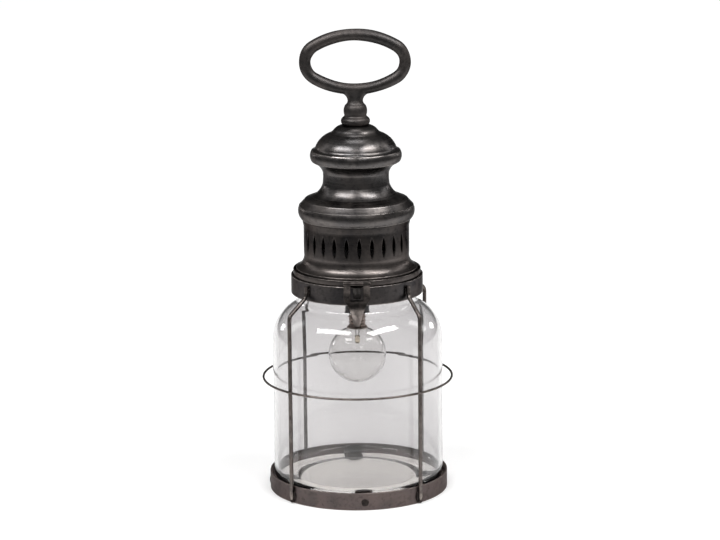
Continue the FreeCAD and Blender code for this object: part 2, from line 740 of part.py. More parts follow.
def timer_switch():
    """Slide knob with a wide foot under the case's roof, at its off end."""
    sx = (bay_limits()[1] + case_wall + case_x_limits()[1] - case_wall) / 2
    y0 = switch_y_limits()[0]
    y1 = y0 + switch_knob_length
    roof = case_top - case_wall
    half = switch_knob_width / 2
    knob = block(sx - half, sx + half, y0, y1, roof - 0.5, case_top + switch_knob_height)
    grooves = [block(sx - half - 1, sx + half + 1, y0 + d, y0 + d + 0.5, case_top + switch_knob_height - 0.5,
                     case_top + switch_knob_height + 1) for d in (0.8, 1.75, 2.7)]
    foot = block(sx - half - 1.2, sx + half + 1.2, y0 - 1.0, y1 + 1.0, roof - 1.7, roof - body_gap)
    return knob.cut(grooves).fuse(foot).removeSplitter()


def battery_cover():
    """Lift-off lid of the cell bay: plate, a lip that drops inside, and a thumb recess."""
    x0 = case_x_limits()[0]
    x1 = bay_limits()[1] + case_wall / 2
    w = case_width / 2
    plate = block(x0, x1, -w, w, case_top, case_top + cover_thickness)
    plate = plate.makeFillet(1.9, [e for e in plate.Edges
                                   if abs(e.tangentAt(e.FirstParameter).z) > 0.9 and e.CenterOfMass.x < 0])
    c = cover_clearance + case_wall
    lip = block(x0 + c, bay_limits()[1] - cover_clearance, -w + c, w - c,
                case_top - cover_lip_depth, case_top)
    t = cover_lip_wall
    lip = lip.cut(block(x0 + c + t, bay_limits()[1] - cover_clearance - t, -w + c + t, w - c - t,
                        case_top - cover_lip_depth - 1, case_top))
    thumb = Part.makeSphere(thumb_radius, V(x0 + thumb_radius, 0,
                                            case_top + cover_thickness + thumb_radius - thumb_depth))
    return plate.fuse(lip).removeSplitter().cut(thumb)


def cell_axes():
    step = 2 * cell_radius + cell_gap
    return [(k - (cell_count - 1) / 2) * step for k in range(cell_count)]


def battery_cells():
    """Cells side by side along X, each turned end for end to its neighbour, with a stepped nub."""
    x0 = bay_limits()[0] + contact_room
    cells = []
    for k, y in enumerate(cell_axes()):
        body_x = x0 if k % 2 else x0 + cell_nub_height
        nub_x = body_x + cell_length if k % 2 else x0
        can = Part.makeCylinder(cell_radius, cell_length, V(body_x, y, cell_axis_height), V(1, 0, 0))
        nub = Part.makeCylinder(cell_nub_radius, cell_nub_height, V(nub_x, y, cell_axis_height), V(1, 0, 0))
        cells.append(can.fuse(nub).removeSplitter())
    return Part.makeCompound(cells)


def battery_contacts():
    """Bent leaf contacts at both ends of each cell, each bowed from the case's wall to the cell."""
    strips = []
    for y in cell_axes():
        for wall_x, side in zip(bay_limits(), (1, -1)):
            foot = wall_x + side * solder_gap
            crest = wall_x + side * (contact_room - solder_gap)
            rise, flat = contact_half_height, 0.8
            bow = [V(foot, y - contact_half_width, cell_axis_height - rise),
                   V(crest - side * contact_sheet, y - contact_half_width, cell_axis_height - flat),
                   V(crest - side * contact_sheet, y - contact_half_width, cell_axis_height + flat),
                   V(foot, y - contact_half_width, cell_axis_height + rise),
                   V(foot + side * contact_sheet, y - contact_half_width, cell_axis_height + rise),
                   V(crest, y - contact_half_width, cell_axis_height + flat + 0.2),
                   V(crest, y - contact_half_width, cell_axis_height - flat - 0.2),
                   V(foot + side * contact_sheet, y - contact_half_width, cell_axis_height - rise)]
            strips.append(prism(bow, V(0, 2 * contact_half_width, 0)))
    return Part.makeCompound(strips)


def case_screws():
    """Pan-head screws up through the lamp plate into the case's legs."""
    screws = []
    low = plate_height - screw_head_height
    half = screw_slot_width / 2
    for place in case_leg_places():
        head = Part.makeCylinder(screw_head_radius, screw_head_height, place + V(0, 0, low))
        head = head.cut(block(place.x - screw_head_radius, place.x + screw_head_radius,
                              place.y - half, place.y + half, low - 1, low + screw_slot_depth))
        shank = Part.makeCylinder(screw_shank_radius, plate_thickness + case_leg_height,
                                  place + V(0, 0, plate_height))
        screws.append(head.fuse(shank).removeSplitter())
    return Part.makeCompound(screws)


# ---- hood ------------------------------------------------------------------------------------------
def top_cap():
    """Domed cap: flat seat for the handle, bell-shaped crown, dome, and a deep rounded rim."""
    zt, zr, zl = cap_top_height, cap_rim_top, cap_rim_bottom
    c, d, r, lip = cap_crown_radius, cap_dome_radius, cap_rim_radius, cap_lip_radius
    return spun_sheet(hood_sheet, (stud_radius + solder_gap, zt), (c - 6.5, zt),
                      ((c - 2.5, zt - 1.5), (c, zt - 3.8)), ((c + 1.2, zt - 5.05), (c + 3.1, zt - 6.3)),
                      ((d - 4.1, zt - cap_dome_drop), (d, zr + 2.0)), ((d + 1.1, zr + 0.35), (lip, zr)),
                      ((r, zl + cap_rim_widest), (lip, zl)))


def waist_cowl():
    """Waisted spinning: flange inside the cap's rim, narrow waist, cove, round shoulder, rolled-in rim."""
    top_r = cap_lip_radius - hood_sheet - seam_gap
    w, wz, s, sz = waist_radius, waist_height, shoulder_radius, shoulder_height
    r, zr, zl = cowl_rim_radius, cowl_rim_top, cowl_rim_bottom
    return spun_sheet(hood_sheet, (top_r, cap_rim_bottom + seam_lap), (top_r, cap_rim_bottom - 0.65),
                      ((w + 0.94, wz + 7.6), (w + 0.05, wz + 5.4)), ((w, wz), (w + 0.4, wz - 3.85)),
                      ((w + 2.45, wz - 8.05), (w + 6.55, wz - 12.3)), ((s - 4.75, sz + 1.85), (s, sz)),
                      ((s + 2.4, sz - 2.8), (r - cowl_rim_roll, zr)),
                      ((r, zl + cowl_rim_widest), (cowl_lip_radius, zl)))


def air_slot():
    """Cutter for one slot: a lens of two arcs, driven radially through the drum's front."""
    h, w = slot_height / 2, slot_width / 2
    z, y = slot_middle_height, -(drum_radius - slot_cut_depth)
    low, high = V(0, y, z - h), V(0, y, z + h)
    lens = Part.Wire([Part.Arc(low, V(w, y, z), high).toShape(), Part.Arc(high, V(-w, y, z), low).toShape()])
    return Part.Face(lens).extrude(V(0, -2 * slot_cut_depth, 0))


def vent_gallery():
    """Slotted drum: flange inside the cowl's rim, straight wall with the slots, cove foot on the pan."""
    top_r = cowl_lip_radius - hood_sheet - seam_gap
    r, f = drum_radius, foot_radius
    reach, fall = f - foot_crease_depth - r, drum_bottom - foot_crease_height
    drum = spun_sheet(hood_sheet, (top_r, cowl_rim_bottom + seam_lap), (top_r, cowl_rim_bottom - 1.0),
                      ((r + 0.65, drum_top + 2.9), (r, drum_top)), (r, drum_bottom),
                      ((r + foot_cove_reach * reach, drum_bottom - foot_cove_fall * fall),
                       (f - foot_crease_depth, foot_crease_height)),
                      (f, foot_crease_height - 0.8),
                      (f, pan_floor_top))
    slots = [turned(air_slot(), slot_turn + 360.0 / slot_count * k) for k in range(slot_count)]
    return drum.cut(slots)


def hood_pan():
    """Ring pan: upturned rim, floor that the gallery stands on, skirt that drops inside the collar."""
    r, t, h, s = pan_radius, pan_sheet, pan_hole_radius, skirt_radius
    z0, z1, z2, z3 = pan_bottom - skirt_depth, pan_bottom, pan_floor_top, pan_rim_top
    return spin(profile((h, z1), (s - t, z1), (s - t, z0), (s, z0), (s, z1), (r - 0.5, z1),
                        ((r - 0.15, z1 + 0.15), (r, z1 + 0.5)), (r, z3 - t / 2),
                        ((r - t / 2, z3), (r - t, z3 - t / 2)), (r - t, z2), (h, z2), (h, z1)))


def oval_path():
    """Centre line of the loop: an oval of two end arcs and two flatter ones, all tangent."""
    a, b, r = loop_half_width, loop_half_height, loop_end_radius
    flat = (a * a + b * b - 2 * a * r) / (2 * (b - r))
    z = loop_bottom_height + b
    lean = math.atan2(a - r, flat - b)
    arcs = []
    for centre_x, centre_z, radius, first, last in (
            (0, z - b + flat, flat, -math.pi / 2, -math.pi / 2 + lean),
            (a - r, z, r, -math.pi / 2 + lean, math.pi / 2 - lean),
            (0, z + b - flat, flat, math.pi / 2 - lean, math.pi / 2 + lean),
            (r - a, z, r, math.pi / 2 + lean, 3 * math.pi / 2 - lean),
            (0, z - b + flat, flat, 3 * math.pi / 2 - lean, 3 * math.pi / 2)):
        points = [V(centre_x + radius * math.cos(t), 0, centre_z + radius * math.sin(t))
                  for t in (first, (first + last) / 2, last)]
        arcs.append(Part.Arc(*points).toShape())
    return Part.Wire(arcs)


def handle():
    """Cast ring handle: an oval loop on a turned stem, drilled and tapped from below for the stud."""
    loop = oval_path().makePipeShell([Part.Wire(Part.makeCircle(
        loop_section_radius, V(0, 0, loop_bottom_height), V(1, 0, 0)))], True, False)
    n, b, d = stem_neck_radius, stem_bulb_radius, stem_bead_radius
    z0 = cap_top_height
    zn, zb, zd = z0 + stem_neck_rise, z0 + stem_bulb_rise, z0 + stem_bead_rise
    stem = spin(profile((0, z0), (d - 2.2, z0), ((d, zd), (d - 1.4, zd + 3.4)), (b - 0.7, zd + 4.6),
                        (b - 0.5, zd + 5.6), ((b, zb), (b - 1.1, zb + 4.1)), ((n + 0.5, zn - 1.4), (n, zn)),
                        (0, zn), (0, z0)))
    merge = loop_bottom_height - 1.0
    saddle = Part.makeLoft([oval_section(n, n, zn), oval_section(n + 1.3, n - 0.7, zn + 0.4 * (merge - zn)),
                            oval_section(saddle_half_width, loop_section_radius - 0.15, merge)], True)
    bore = Part.makeCylinder(stud_radius + solder_gap, stud_bore_depth + 0.5, V(0, 0, z0))
    return loop.fuse([stem, saddle]).removeSplitter().cut(bore)


def oval_section(half_x, half_y, height):
    """Level ellipse about the axis."""
    if half_x == half_y:
        return Part.Wire(Part.makeCircle(half_x, V(0, 0, height), UP))
    return Part.Wire(Part.Ellipse(V(half_x, 0, height), V(0, half_y, height), V(0, 0, height)).toShape())


def handle_stud():
    return Part.makeCylinder(stud_radius, stud_bore_depth + hood_sheet + stud_tail,
                             V(0, 0, cap_top_height - hood_sheet - stud_tail))


def handle_washer():
    top = cap_top_height - hood_sheet
    return tube(washer_radius, stud_radius + solder_gap, top - washer_thickness, top)


def handle_nut():
    top = cap_top_height - hood_sheet - washer_thickness
    nut = hexagon(nut_width, top - nut_height, nut_height)
    return nut.cut(Part.makeCylinder(stud_radius + solder_gap, 3 * nut_height, V(0, 0, top - 2 * nut_height)))


# ---- rear hinge ------------------------------------------------------------------------------------
def along_x(radius, x0, x1, y, z):
    return rod(radius, V(x0, y, z), V(x1, y, z))


def hinge_half_width():
    return hinge_middle_width / 2 + body_gap + hinge_side_width


def hinge_lower_leaf():
    """Leaf soldered to the collar, rolled into the two outer knuckles."""
    half = hinge_half_width() + hinge_leaf_overhang
    inner = collar_radius + solder_gap
    top = collar_top - solder_gap
    web_face = max(inner, pan_radius + solder_gap + hinge_leaf_sheet + body_gap)
    leaf = sector(inner + hinge_leaf_sheet, inner, top - hinge_leaf_depth, top, half, 1)
    x0 = hinge_middle_width / 2 + body_gap
    for side in (-1, 1):
        a, b = sorted((side * x0, side * (x0 + hinge_side_width)))
        web = block(a, b, web_face, web_face + hinge_leaf_sheet, top - hinge_leaf_depth / 2, hinge_z)
        leaf = leaf.fuse([web, along_x(hinge_knuckle_radius, a, b, hinge_y, hinge_z)])
    bore = along_x(hinge_pin_radius, -half, half, hinge_y, hinge_z)
    return leaf.cut(bore).removeSplitter()


def hinge_upper_leaf():
    """Leaf soldered to the pan's rim, rolled into the middle knuckle, which turns on the pin."""
    half = hinge_half_width() + hinge_leaf_overhang
    inner = pan_radius + solder_gap
    low, high = pan_bottom + 0.6, pan_rim_top - 0.3
    leaf = sector(inner + hinge_leaf_sheet, inner, low, high, half, 1)
    m = hinge_middle_width / 2
    web = block(-m, m, inner + 0.3, hinge_y, hinge_z + 0.4, hinge_z + 1.8)
    knuckle = along_x(hinge_knuckle_radius, -m, m, hinge_y, hinge_z)
    bore = along_x(hinge_pin_radius + running_clearance, -half, half, hinge_y, hinge_z)
    return leaf.fuse([web, knuckle]).cut(bore).removeSplitter()


def hinge_pin():
    """Pin pressed in the outer knuckles, with a small head at each end."""
    end = hinge_half_width()
    pin = along_x(hinge_pin_radius, -end - 0.8, end + 0.8, hinge_y, hinge_z)
    heads = [along_x(hinge_pin_head, a, b, hinge_y, hinge_z)
             for a, b in ((-end - 0.8, -end - 0.05), (end + 0.05, end + 0.8))]
    return pin.fuse(heads).removeSplitter()


# ---- hasp and keeper ---------------------------------------------------------------------------------
def hasp_bracket():
    """Small bracket on the pan's rim with the hasp's middle knuckle."""
    inner = pan_radius + solder_gap
    half = hasp_middle_width / 2
    base = sector(inner + hinge_leaf_sheet, inner, pan_bottom + 0.6, pan_rim_top - 0.3, half, -1)
    web = block(-half, half, hasp_y, -(inner + 0.3), hasp_z - 1.0, hasp_z + 0.7)
    knuckle = along_x(hasp_barrel_radius, -half, half, hasp_y, hasp_z)
    bore = along_x(hasp_pin_radius, -hasp_width, hasp_width, hasp_y, hasp_z)
    return base.fuse([web, knuckle]).cut(bore).removeSplitter()


def hasp_pin():
    end = hasp_width / 2
    return along_x(hasp_pin_radius, -end - 0.3, end + 0.3, hasp_y, hasp_z)


def hasp():
    """Strap hasp: side profile drawn across the width, trimmed to its front outline, then pierced."""
    t = hasp_sheet
    back = hasp_y + hasp_barrel_radius
    knee = hasp_z - hasp_strap_drop
    tip_z = knee - hasp_tongue_drop
    side = Part.Wire([Part.LineSegment(V(0, back, hasp_z), V(0, back, knee + 3)).toShape(),
                      Part.Arc(V(0, back, knee + 3), V(0, back - 0.55, knee - 1.6),
                               V(0, back - 2.6, knee - 5.6)).toShape(),
                      Part.LineSegment(V(0, back - 2.6, knee - 5.6),
                                       V(0, back - hasp_tongue_reach, tip_z)).toShape()])
    strip = side.makeOffset2D(t, 2, True, True)
    if strip.CenterOfMass.y > side.CenterOfMass.y:
        strip = side.makeOffset2D(-t, 2, True, True)
    strip.translate(V(-hasp_width / 2, 0, 0))
    strap = strip.extrude(V(hasp_width, 0, 0))
    barrel = along_x(hasp_barrel_radius, -hasp_width / 2, hasp_width / 2, hasp_y, hasp_z)
    w, a, b = hasp_width / 2, hasp_throat_width / 2, hasp_tip_width / 2
    y = back - 2 * hasp_tongue_reach
    edge = [V(-w, y, hasp_z + 3), V(w, y, hasp_z + 3), V(w, y, knee + 4.0), V(a, y, knee),
            V(0.52 * a, y, knee - hasp_taper_drop), V(b, y, tip_z + b), V(0.6 * b, y, tip_z + 0.2),
            V(-0.6 * b, y, tip_z + 0.2), V(-b, y, tip_z + b), V(-0.52 * a, y, knee - hasp_taper_drop),
            V(-a, y, knee), V(-w, y, knee + 4.0)]
    body = strap.fuse(barrel).common(prism(edge, V(0, -y, 0)))
    m = hasp_middle_width / 2 + body_gap
    window = block(-m, m, y, 0, hasp_z - window_drop, hasp_z + 5)
    bore = along_x(hasp_pin_radius + running_clearance, -hasp_width, hasp_width, hasp_y, hasp_z)
    return body.cut([window, bore]).removeSplitter()


def keeper():
    """Pressed nose on the collar: a ramp that the hasp's window drops over, with a lip at its lower end."""
    low = hasp_z - window_drop + keeper_slack
    top = low + keeper_height
    back = -(collar_radius - 1.5)
    face = -(collar_radius + 0.5)
    lip = -(collar_radius + keeper_reach)
    nose = Part.Wire([Part.LineSegment(V(0, back, top), V(0, face, top)).toShape(),
                      Part.LineSegment(V(0, face, top), V(0, lip, low + 1.8)).toShape(),
                      Part.Arc(V(0, lip, low + 1.8), V(0, lip + 0.25, low + 0.4),
                               V(0, lip + 1.3, low)).toShape(),
                      Part.LineSegment(V(0, lip + 1.3, low), V(0, back, low)).toShape(),
                      Part.LineSegment(V(0, back, low), V(0, back, top)).toShape()])
    half = keeper_width / 2
    ramp = Part.Face(nose)
    ramp.translate(V(-half, 0, 0))
    ramp = ramp.extrude(V(keeper_width, 0, 0))
    outline = block(-half, half, lip - 1, back, low + half, top + 1)
    outline = outline.fuse(Part.makeCylinder(half, back - lip + 1, V(0, lip - 1, low + half), V(0, 1, 0)))
    return ramp.common(outline).cut(Part.makeCylinder(collar_radius + solder_gap, 3 * keeper_height,
                                                      V(0, 0, low - keeper_height)))


# ---- write the nodes -----------------------------------------------------------------------------
def nodes():
    yield "base_band", base_band()
    for side, angle in zip(("front", "right", "back", "left"), rest_angles()):
        yield "jar_rest_" + side, turned(jar_rest(), angle)
    yield "rest_rivets", rest_rivets()
    for name, (foot_angle, collar_angle) in post_angles.items():
        yield name, post(foot_angle, collar_angle)
    yield "guard_ring", guard_ring()
    yield "collar_band", collar_band()
    yield "neck_guide", neck_guide()
    yield "glass_jar", glass_jar()
    yield "keeper", keeper()
    yield "hinge_lower_leaf", hinge_lower_leaf()
    yield "hinge_pin", hinge_pin()
    yield "lamp_plate", lamp_plate()
    yield "plate_screws", plate_screws()
    yield "lamp_holder", lamp_holder()
    yield "holder_shell", holder_shell()
    yield "holder_contact", holder_contact()
    yield "holder_nut", holder_nut()
    yield "battery_case", battery_case()
    yield "battery_cells", battery_cells()
    yield "battery_contacts", battery_contacts()
    yield "case_screws", case_screws()
    yield "battery_cover", battery_cover()
    yield "timer_switch", timer_switch()
    yield "lamp_globe", globe()
    yield "lamp_cap", lamp_cap()
    yield "lamp_insulator", lamp_insulator()
    yield "lamp_tip", lamp_tip()
    yield "lamp_stem", lamp_stem()
    yield "lamp_leads", lamp_leads()
    yield "lamp_bead", lamp_bead()
    yield "top_cap", top_cap()
    yield "waist_cowl", waist_cowl()
    yield "vent_gallery", vent_gallery()
    yield "hood_pan", hood_pan()
    yield "handle", handle()
    yield "handle_stud", handle_stud()
    yield "handle_washer", handle_washer()
    yield "handle_nut", handle_nut()
    yield "hinge_upper_leaf", hinge_upper_leaf()
    yield "hasp_bracket", hasp_bracket()
    yield "hasp_pin", hasp_pin()
    yield "hasp", hasp()


os.makedirs("parts", exist_ok=True)
for name, shape in nodes():
    shape.exportStep("parts/" + name + ".step")
    print("%-18s solids %d valid %s volume %.1f" % (name, len(shape.Solids), shape.isValid(), shape.Volume))
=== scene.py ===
import json
import math

import bmesh
import bpy
import numpy as np
from mathutils import Matrix, Vector

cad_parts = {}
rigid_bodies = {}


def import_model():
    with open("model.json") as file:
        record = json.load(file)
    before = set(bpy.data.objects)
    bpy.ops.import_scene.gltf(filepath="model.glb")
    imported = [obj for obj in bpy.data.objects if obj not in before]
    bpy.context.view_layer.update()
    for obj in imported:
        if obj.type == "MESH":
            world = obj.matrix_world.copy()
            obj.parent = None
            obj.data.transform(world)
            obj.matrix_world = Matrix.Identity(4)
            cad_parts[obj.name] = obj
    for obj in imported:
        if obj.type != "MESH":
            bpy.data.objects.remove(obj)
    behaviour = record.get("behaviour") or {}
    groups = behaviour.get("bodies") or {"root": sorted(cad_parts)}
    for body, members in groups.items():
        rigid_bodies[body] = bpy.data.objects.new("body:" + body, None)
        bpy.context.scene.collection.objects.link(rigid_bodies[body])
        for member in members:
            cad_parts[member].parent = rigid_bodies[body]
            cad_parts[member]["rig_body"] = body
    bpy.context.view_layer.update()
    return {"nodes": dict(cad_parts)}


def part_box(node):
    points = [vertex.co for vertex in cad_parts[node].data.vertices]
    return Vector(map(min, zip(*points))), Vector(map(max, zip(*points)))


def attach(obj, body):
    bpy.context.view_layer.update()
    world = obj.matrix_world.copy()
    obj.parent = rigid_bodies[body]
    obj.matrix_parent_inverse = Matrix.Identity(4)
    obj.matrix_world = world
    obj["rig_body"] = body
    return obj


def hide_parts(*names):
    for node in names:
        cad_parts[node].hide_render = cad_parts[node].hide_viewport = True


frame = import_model()

MM = 0.001           # metres to a millimetre


# ---- sizes, and places read from the frame, in millimetres ---------------------------------------
def heights(node):
    """Lowest and highest point of a node."""
    low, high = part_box(node)
    return low.z / MM, high.z / MM


def reach(node):
    """Largest radius from the lantern's axis, and lowest and highest point, of a node that goes round it."""
    return (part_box(node)[1].x / MM, *heights(node))


cap_low, cap_high = heights("top_cap")
cowl_low, cowl_high = heights("waist_cowl")
foot_radius, gallery_low, gallery_high = reach("vent_gallery")
pan_radius, skirt_low, pan_high = reach("hood_pan")
collar_radius, collar_low = reach("collar_band")[:2]
base_radius = reach("base_band")[0]
jar_radius, jar_low, jar_high = reach("glass_jar")
plate_low = heights("lamp_plate")[0]
holder_radius, holder_low, holder_high = reach("lamp_holder")
globe_radius, globe_low, globe_high = reach("lamp_globe")
flange_radius, flange_low, lamp_cap_high = reach("lamp_cap")
ring_radius, ring_low, ring_high = reach("guard_ring")
ring_middle = (ring_low + ring_high) / 2
loop_reach, handle_low, handle_high = reach("handle")

SHEET = 0.9          # wall of the hood's spinnings
NEST = 0.25          # clearance of one spinning in the rim of the next
BAND = 1.5           # wall of the collar and the base band
WIRE = 1.55          # radius of a post's wire
SOLDER = 0.05        # gap between a post and the bands, which the solder fills
CIRCLE = 224         # steps round the lantern


# ---- shapes --------------------------------------------------------------------------------------
def unit(rows):
    """Each row of an array brought to length one."""
    return rows / np.linalg.norm(rows, axis=1, keepdims=True)


def run_length(path):
    """Length along a path from its start to each of its points."""
    return np.concatenate([[0], np.cumsum(np.linalg.norm(np.diff(path, axis=0), axis=1))])


def straight(here, there, count):
    """Ends of a count of equal runs on the line from here to there."""
    return here + (there - here) * np.linspace(0, 1, count + 1)[1:, None]


def towards(here, there, length):
    """Point at a length from here on the line to there."""
    return here + (there - here) / np.linalg.norm(there - here) * length


def bend(first, corner, last, t):
    """Quadratic curve: first (1 - t)^2 plus corner 2t (1 - t) plus last t^2."""
    return first * (1 - t) ** 2 + 2 * corner * t * (1 - t) + last * t ** 2


def arc(start, through, end, pitch):
    """Circle through three points, sampled from start to end: centre plus radius times (cos a, sin a)."""
    (ax, ay), (bx, by), (cx, cy) = start, through, end
    d = 2 * (ax * (by - cy) + bx * (cy - ay) + cx * (ay - by))
    sa, sb, sc = ax * ax + ay * ay, bx * bx + by * by, cx * cx + cy * cy
    centre = np.array([(sa * (by - cy) + sb * (cy - ay) + sc * (ay - by)) / d,
                       (sa * (cx - bx) + sb * (ax - cx) + sc * (bx - ax)) / d])
    first, middle, last = (math.atan2(p[1] - centre[1], p[0] - centre[0]) for p in (start, through, end))
    turn = (last - first) % math.tau
    if (middle - first) % math.tau > turn:
        turn -= math.tau
    radius = math.hypot(ax - centre[0], ay - centre[1])
    count = max(4, math.ceil(abs(turn) * radius / pitch))
    angle = first + turn * np.linspace(0, 1, count + 1)[1:]
    return centre + radius * np.stack([np.cos(angle), np.sin(angle)], 1)


def formed(start, *steps, pitch=0.4):
    """Profile of (radius, height) points: a pair is a straight run, two pairs are an arc through one to the
    other. Arcs are sampled at the pitch, straight runs at three times the pitch."""
    here = np.array(start, float)
    points = [here[None]]
    for step in steps:
        if np.ndim(step) == 2:
            points.append(arc(here, step[0], step[1], pitch))
        else:
            there = np.array(step, float)
            count = max(2, math.ceil(np.linalg.norm(there - here) / (3 * pitch)))
            points.append(straight(here, there, count))
        here = points[-1][-1]
    return np.concatenate(points)


def dense(profile):
    """Profile with its long straight runs divided."""
    pitch = 0.8
    points = [profile[:1]]
    for here, there in zip(profile, profile[1:]):
        count = max(1, math.ceil(np.linalg.norm(there - here) / pitch))
        points.append(straight(here, there, count))
    return np.concatenate(points)


def walled(skin, wall):
    """Closed profile of a sheet: the skin, then the skin moved square to itself by the wall and run back."""
    way = unit(np.gradient(skin, axis=0))
    inner = skin + wall * np.stack([way[:, 1], -way[:, 0]], 1)
    inner[:, 0] = np.maximum(inner[:, 0], 0)
    return np.concatenate([skin, inner[::-1], skin[:1]])


def rounded(section, radius):
    """Closed corner list with each corner cut by a quadratic curve. The curve starts a radius before the
    corner, or at 0.45 of the side where the side is short."""
    corners = np.array(section, float)
    before, after = np.roll(corners, 1, 0) - corners, np.roll(corners, -1, 0) - corners
    cut_before = np.minimum(radius, 0.45 * np.linalg.norm(before, axis=1))[:, None]
    cut_after = np.minimum(radius, 0.45 * np.linalg.norm(after, axis=1))[:, None]
    first, last = corners + unit(before) * cut_before, corners + unit(after) * cut_after
    t = np.linspace(0, 1, 5)[None, :, None]
    points = bend(first[:, None], corners[:, None], last[:, None], t).reshape(-1, corners.shape[1])
    return np.concatenate([points, points[:1]])


def spun(radius, angle, height):
    """Points on circles about the lantern's axis: (radius cos angle, radius sin angle, height)."""
    x, y = radius * np.cos(angle), radius * np.sin(angle)
    return np.stack([x, y, np.broadcast_to(height, x.shape)], -1)


def polar(radius, degrees, height):
    """One point at a radius, an angle from +X and a height."""
    a = math.radians(degrees)
    return np.array([radius * math.cos(a), radius * math.sin(a), height])


def turned(points, degrees):
    """Points turned about the lantern's axis."""
    a = math.radians(degrees)
    return points @ np.array([[math.cos(a), math.sin(a), 0], [-math.sin(a), math.cos(a), 0], [0, 0, 1]])


def capped(rings, first, last):
    """A stack of rings drawn shut to a point at both its ends."""
    shut = [np.broadcast_to(point, rings.shape[1:])[None] for point in (first, last)]
    return np.concatenate([shut[0], rings, shut[1]])


def gridded(points):
    """A grid of points as a list, and the quads between its neighbouring rows and columns."""
    index = np.arange(points[..., 0].size).reshape(points.shape[:2])
    faces = np.stack([index[:-1, :-1], index[:-1, 1:], index[1:, 1:], index[1:, :-1]], -1)
    return points.reshape(-1, 3), faces.reshape(-1, 4)


def joined(parts):
    """Several (points, faces) pairs as one."""
    points, faces, start = [], [], 0
    for part_points, part_faces in parts:
        points.append(part_points)
        faces.append(part_faces + start)
        start += len(part_points)
    return np.concatenate(points), np.concatenate(faces)


def tube(path, radius, level, sides, closed=False):
    """Points and faces of a round bar: path plus radius times (cos a N + sin a B), where B is level and N is
    square to the path; an open bar's ends close on the path's own end points."""
    if closed:
        way = unit(np.roll(path, -1, 0) - np.roll(path, 1, 0))
    else:
        way = unit(np.gradient(path, axis=0))
    across = unit(np.cross(level, way))[:, None]
    angle = np.linspace(0, math.tau, sides + 1)[:, None]
    radius = np.broadcast_to(radius, len(path))[:, None, None]
    ring = path[:, None] + radius * (np.cos(angle) * across + np.sin(angle) * level)
    if closed:
        ring = np.concatenate([ring, ring[:1]])
    else:
        ring = capped(ring, path[0], path[-1])
    return gridded(ring)


# ---- from shapes to pieces -----------------------------------------------------------------------
def placed(name, data):
    """New object in the scene for a mesh, a light or a camera."""
    made = bpy.data.objects.new(name, data)
    bpy.context.scene.collection.objects.link(made)
    return made


def mark_edges(mesh):
    """Point attribute "edge": the sharpest outward bend at a point, in radians, 0 where it is flat. The
    points beside a bend get a share of it."""
    faces, loops = len(mesh.polygons), len(mesh.loops)
    normal, centre = np.zeros(faces * 3), np.zeros(faces * 3)
    total, edge_of = np.zeros(faces, int), np.zeros(loops, int)
    mesh.polygons.foreach_get("normal", normal)
    mesh.polygons.foreach_get("center", centre)
    mesh.polygons.foreach_get("loop_total", total)
    mesh.loops.foreach_get("edge_index", edge_of)
    ends = np.zeros(len(mesh.edges) * 2, int)
    mesh.edges.foreach_get("vertices", ends)
    normal, centre, ends = normal.reshape(-1, 3), centre.reshape(-1, 3), ends.reshape(-1, 2)
    face_of = np.repeat(np.arange(faces), total)
    order = np.argsort(edge_of, kind="stable")
    pair = np.flatnonzero(edge_of[order][:-1] == edge_of[order][1:])
    a, b = face_of[order[pair]], face_of[order[pair + 1]]
    turn = np.arccos(np.clip((normal[a] * normal[b]).sum(1), -1, 1))
    turn[((centre[b] - centre[a]) * normal[a]).sum(1) > 0] = 0
    edge = np.zeros(len(mesh.vertices))
    for side in (0, 1):
        np.maximum.at(edge, ends[edge_of[order[pair]], side], turn)
    spread = 0.6
    wide = edge.copy()
    for near, far in ((0, 1), (1, 0)):
        np.maximum.at(wide, ends[:, near], spread * edge[ends[:, far]])
    mesh.attributes.new("edge", "FLOAT", "POINT").data.foreach_set("value", wide.astype(np.float32))


def finished(name, mesh, material, body, replaced, crease):
    """Object for a mesh: smooth shading up to a crease in degrees, its material, its body and what it
    replaces."""
    mesh.polygons.foreach_set("use_smooth", np.ones(len(mesh.polygons), bool))
    mesh.set_sharp_from_angle(angle=math.radians(crease))
    mark_edges(mesh)
    made = placed(name, mesh)
    mesh.materials.clear()
    mesh.materials.append(material)
    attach(made, body)
    if replaced:
        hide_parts(*replaced)
    return made


def surface(name, points, faces, material, body, slot, replaced=(), along=None, crease=50, join=1e-6):
    """Piece from arrays in millimetres: doubles within the join, in metres, are merged and faces are turned
    outward. along is the length along the profile, which spun lines follow."""
    mesh = bpy.data.meshes.new(name)
    mesh.from_pydata(points * MM, [], faces.tolist())
    if along is not None:
        lengths = (np.ravel(along) * MM).astype(np.float32)
        mesh.attributes.new("along", "FLOAT", "POINT").data.foreach_set("value", lengths)
    shape = bmesh.new()
    shape.from_mesh(mesh)
    bmesh.ops.remove_doubles(shape, verts=shape.verts, dist=join)
    bmesh.ops.dissolve_degenerate(shape, edges=shape.edges, dist=join)
    bmesh.ops.recalc_face_normals(shape, faces=shape.faces)
    shape.to_mesh(mesh)
    shape.free()
    return finished(name, mesh, material, body, replaced, crease)


def lathe(name, profile, material, body, slot, replaced, wobble=0.0, circle=CIRCLE, crease=50):
    """Surface of revolution: (r cos a, r sin a, z), where r swells and shrinks by a wobble in slow waves."""
    angle = np.linspace(0, math.tau, circle, endpoint=False)
    share = wobble / max(profile[:, 0].max(), 1)
    wave = 1 + share * (np.sin(3 * angle + 1) + 0.6 * np.sin(5 * angle + 2)) / 1.6
    ring = spun(profile[:, :1] * wave, angle, profile[:, 1:])
    ring = np.concatenate([ring, ring[:, :1]], 1)
    along = np.broadcast_to(run_length(profile)[:, None], ring.shape[:2])
    surface(name, *gridded(ring), material, body, slot, replaced, along, crease)


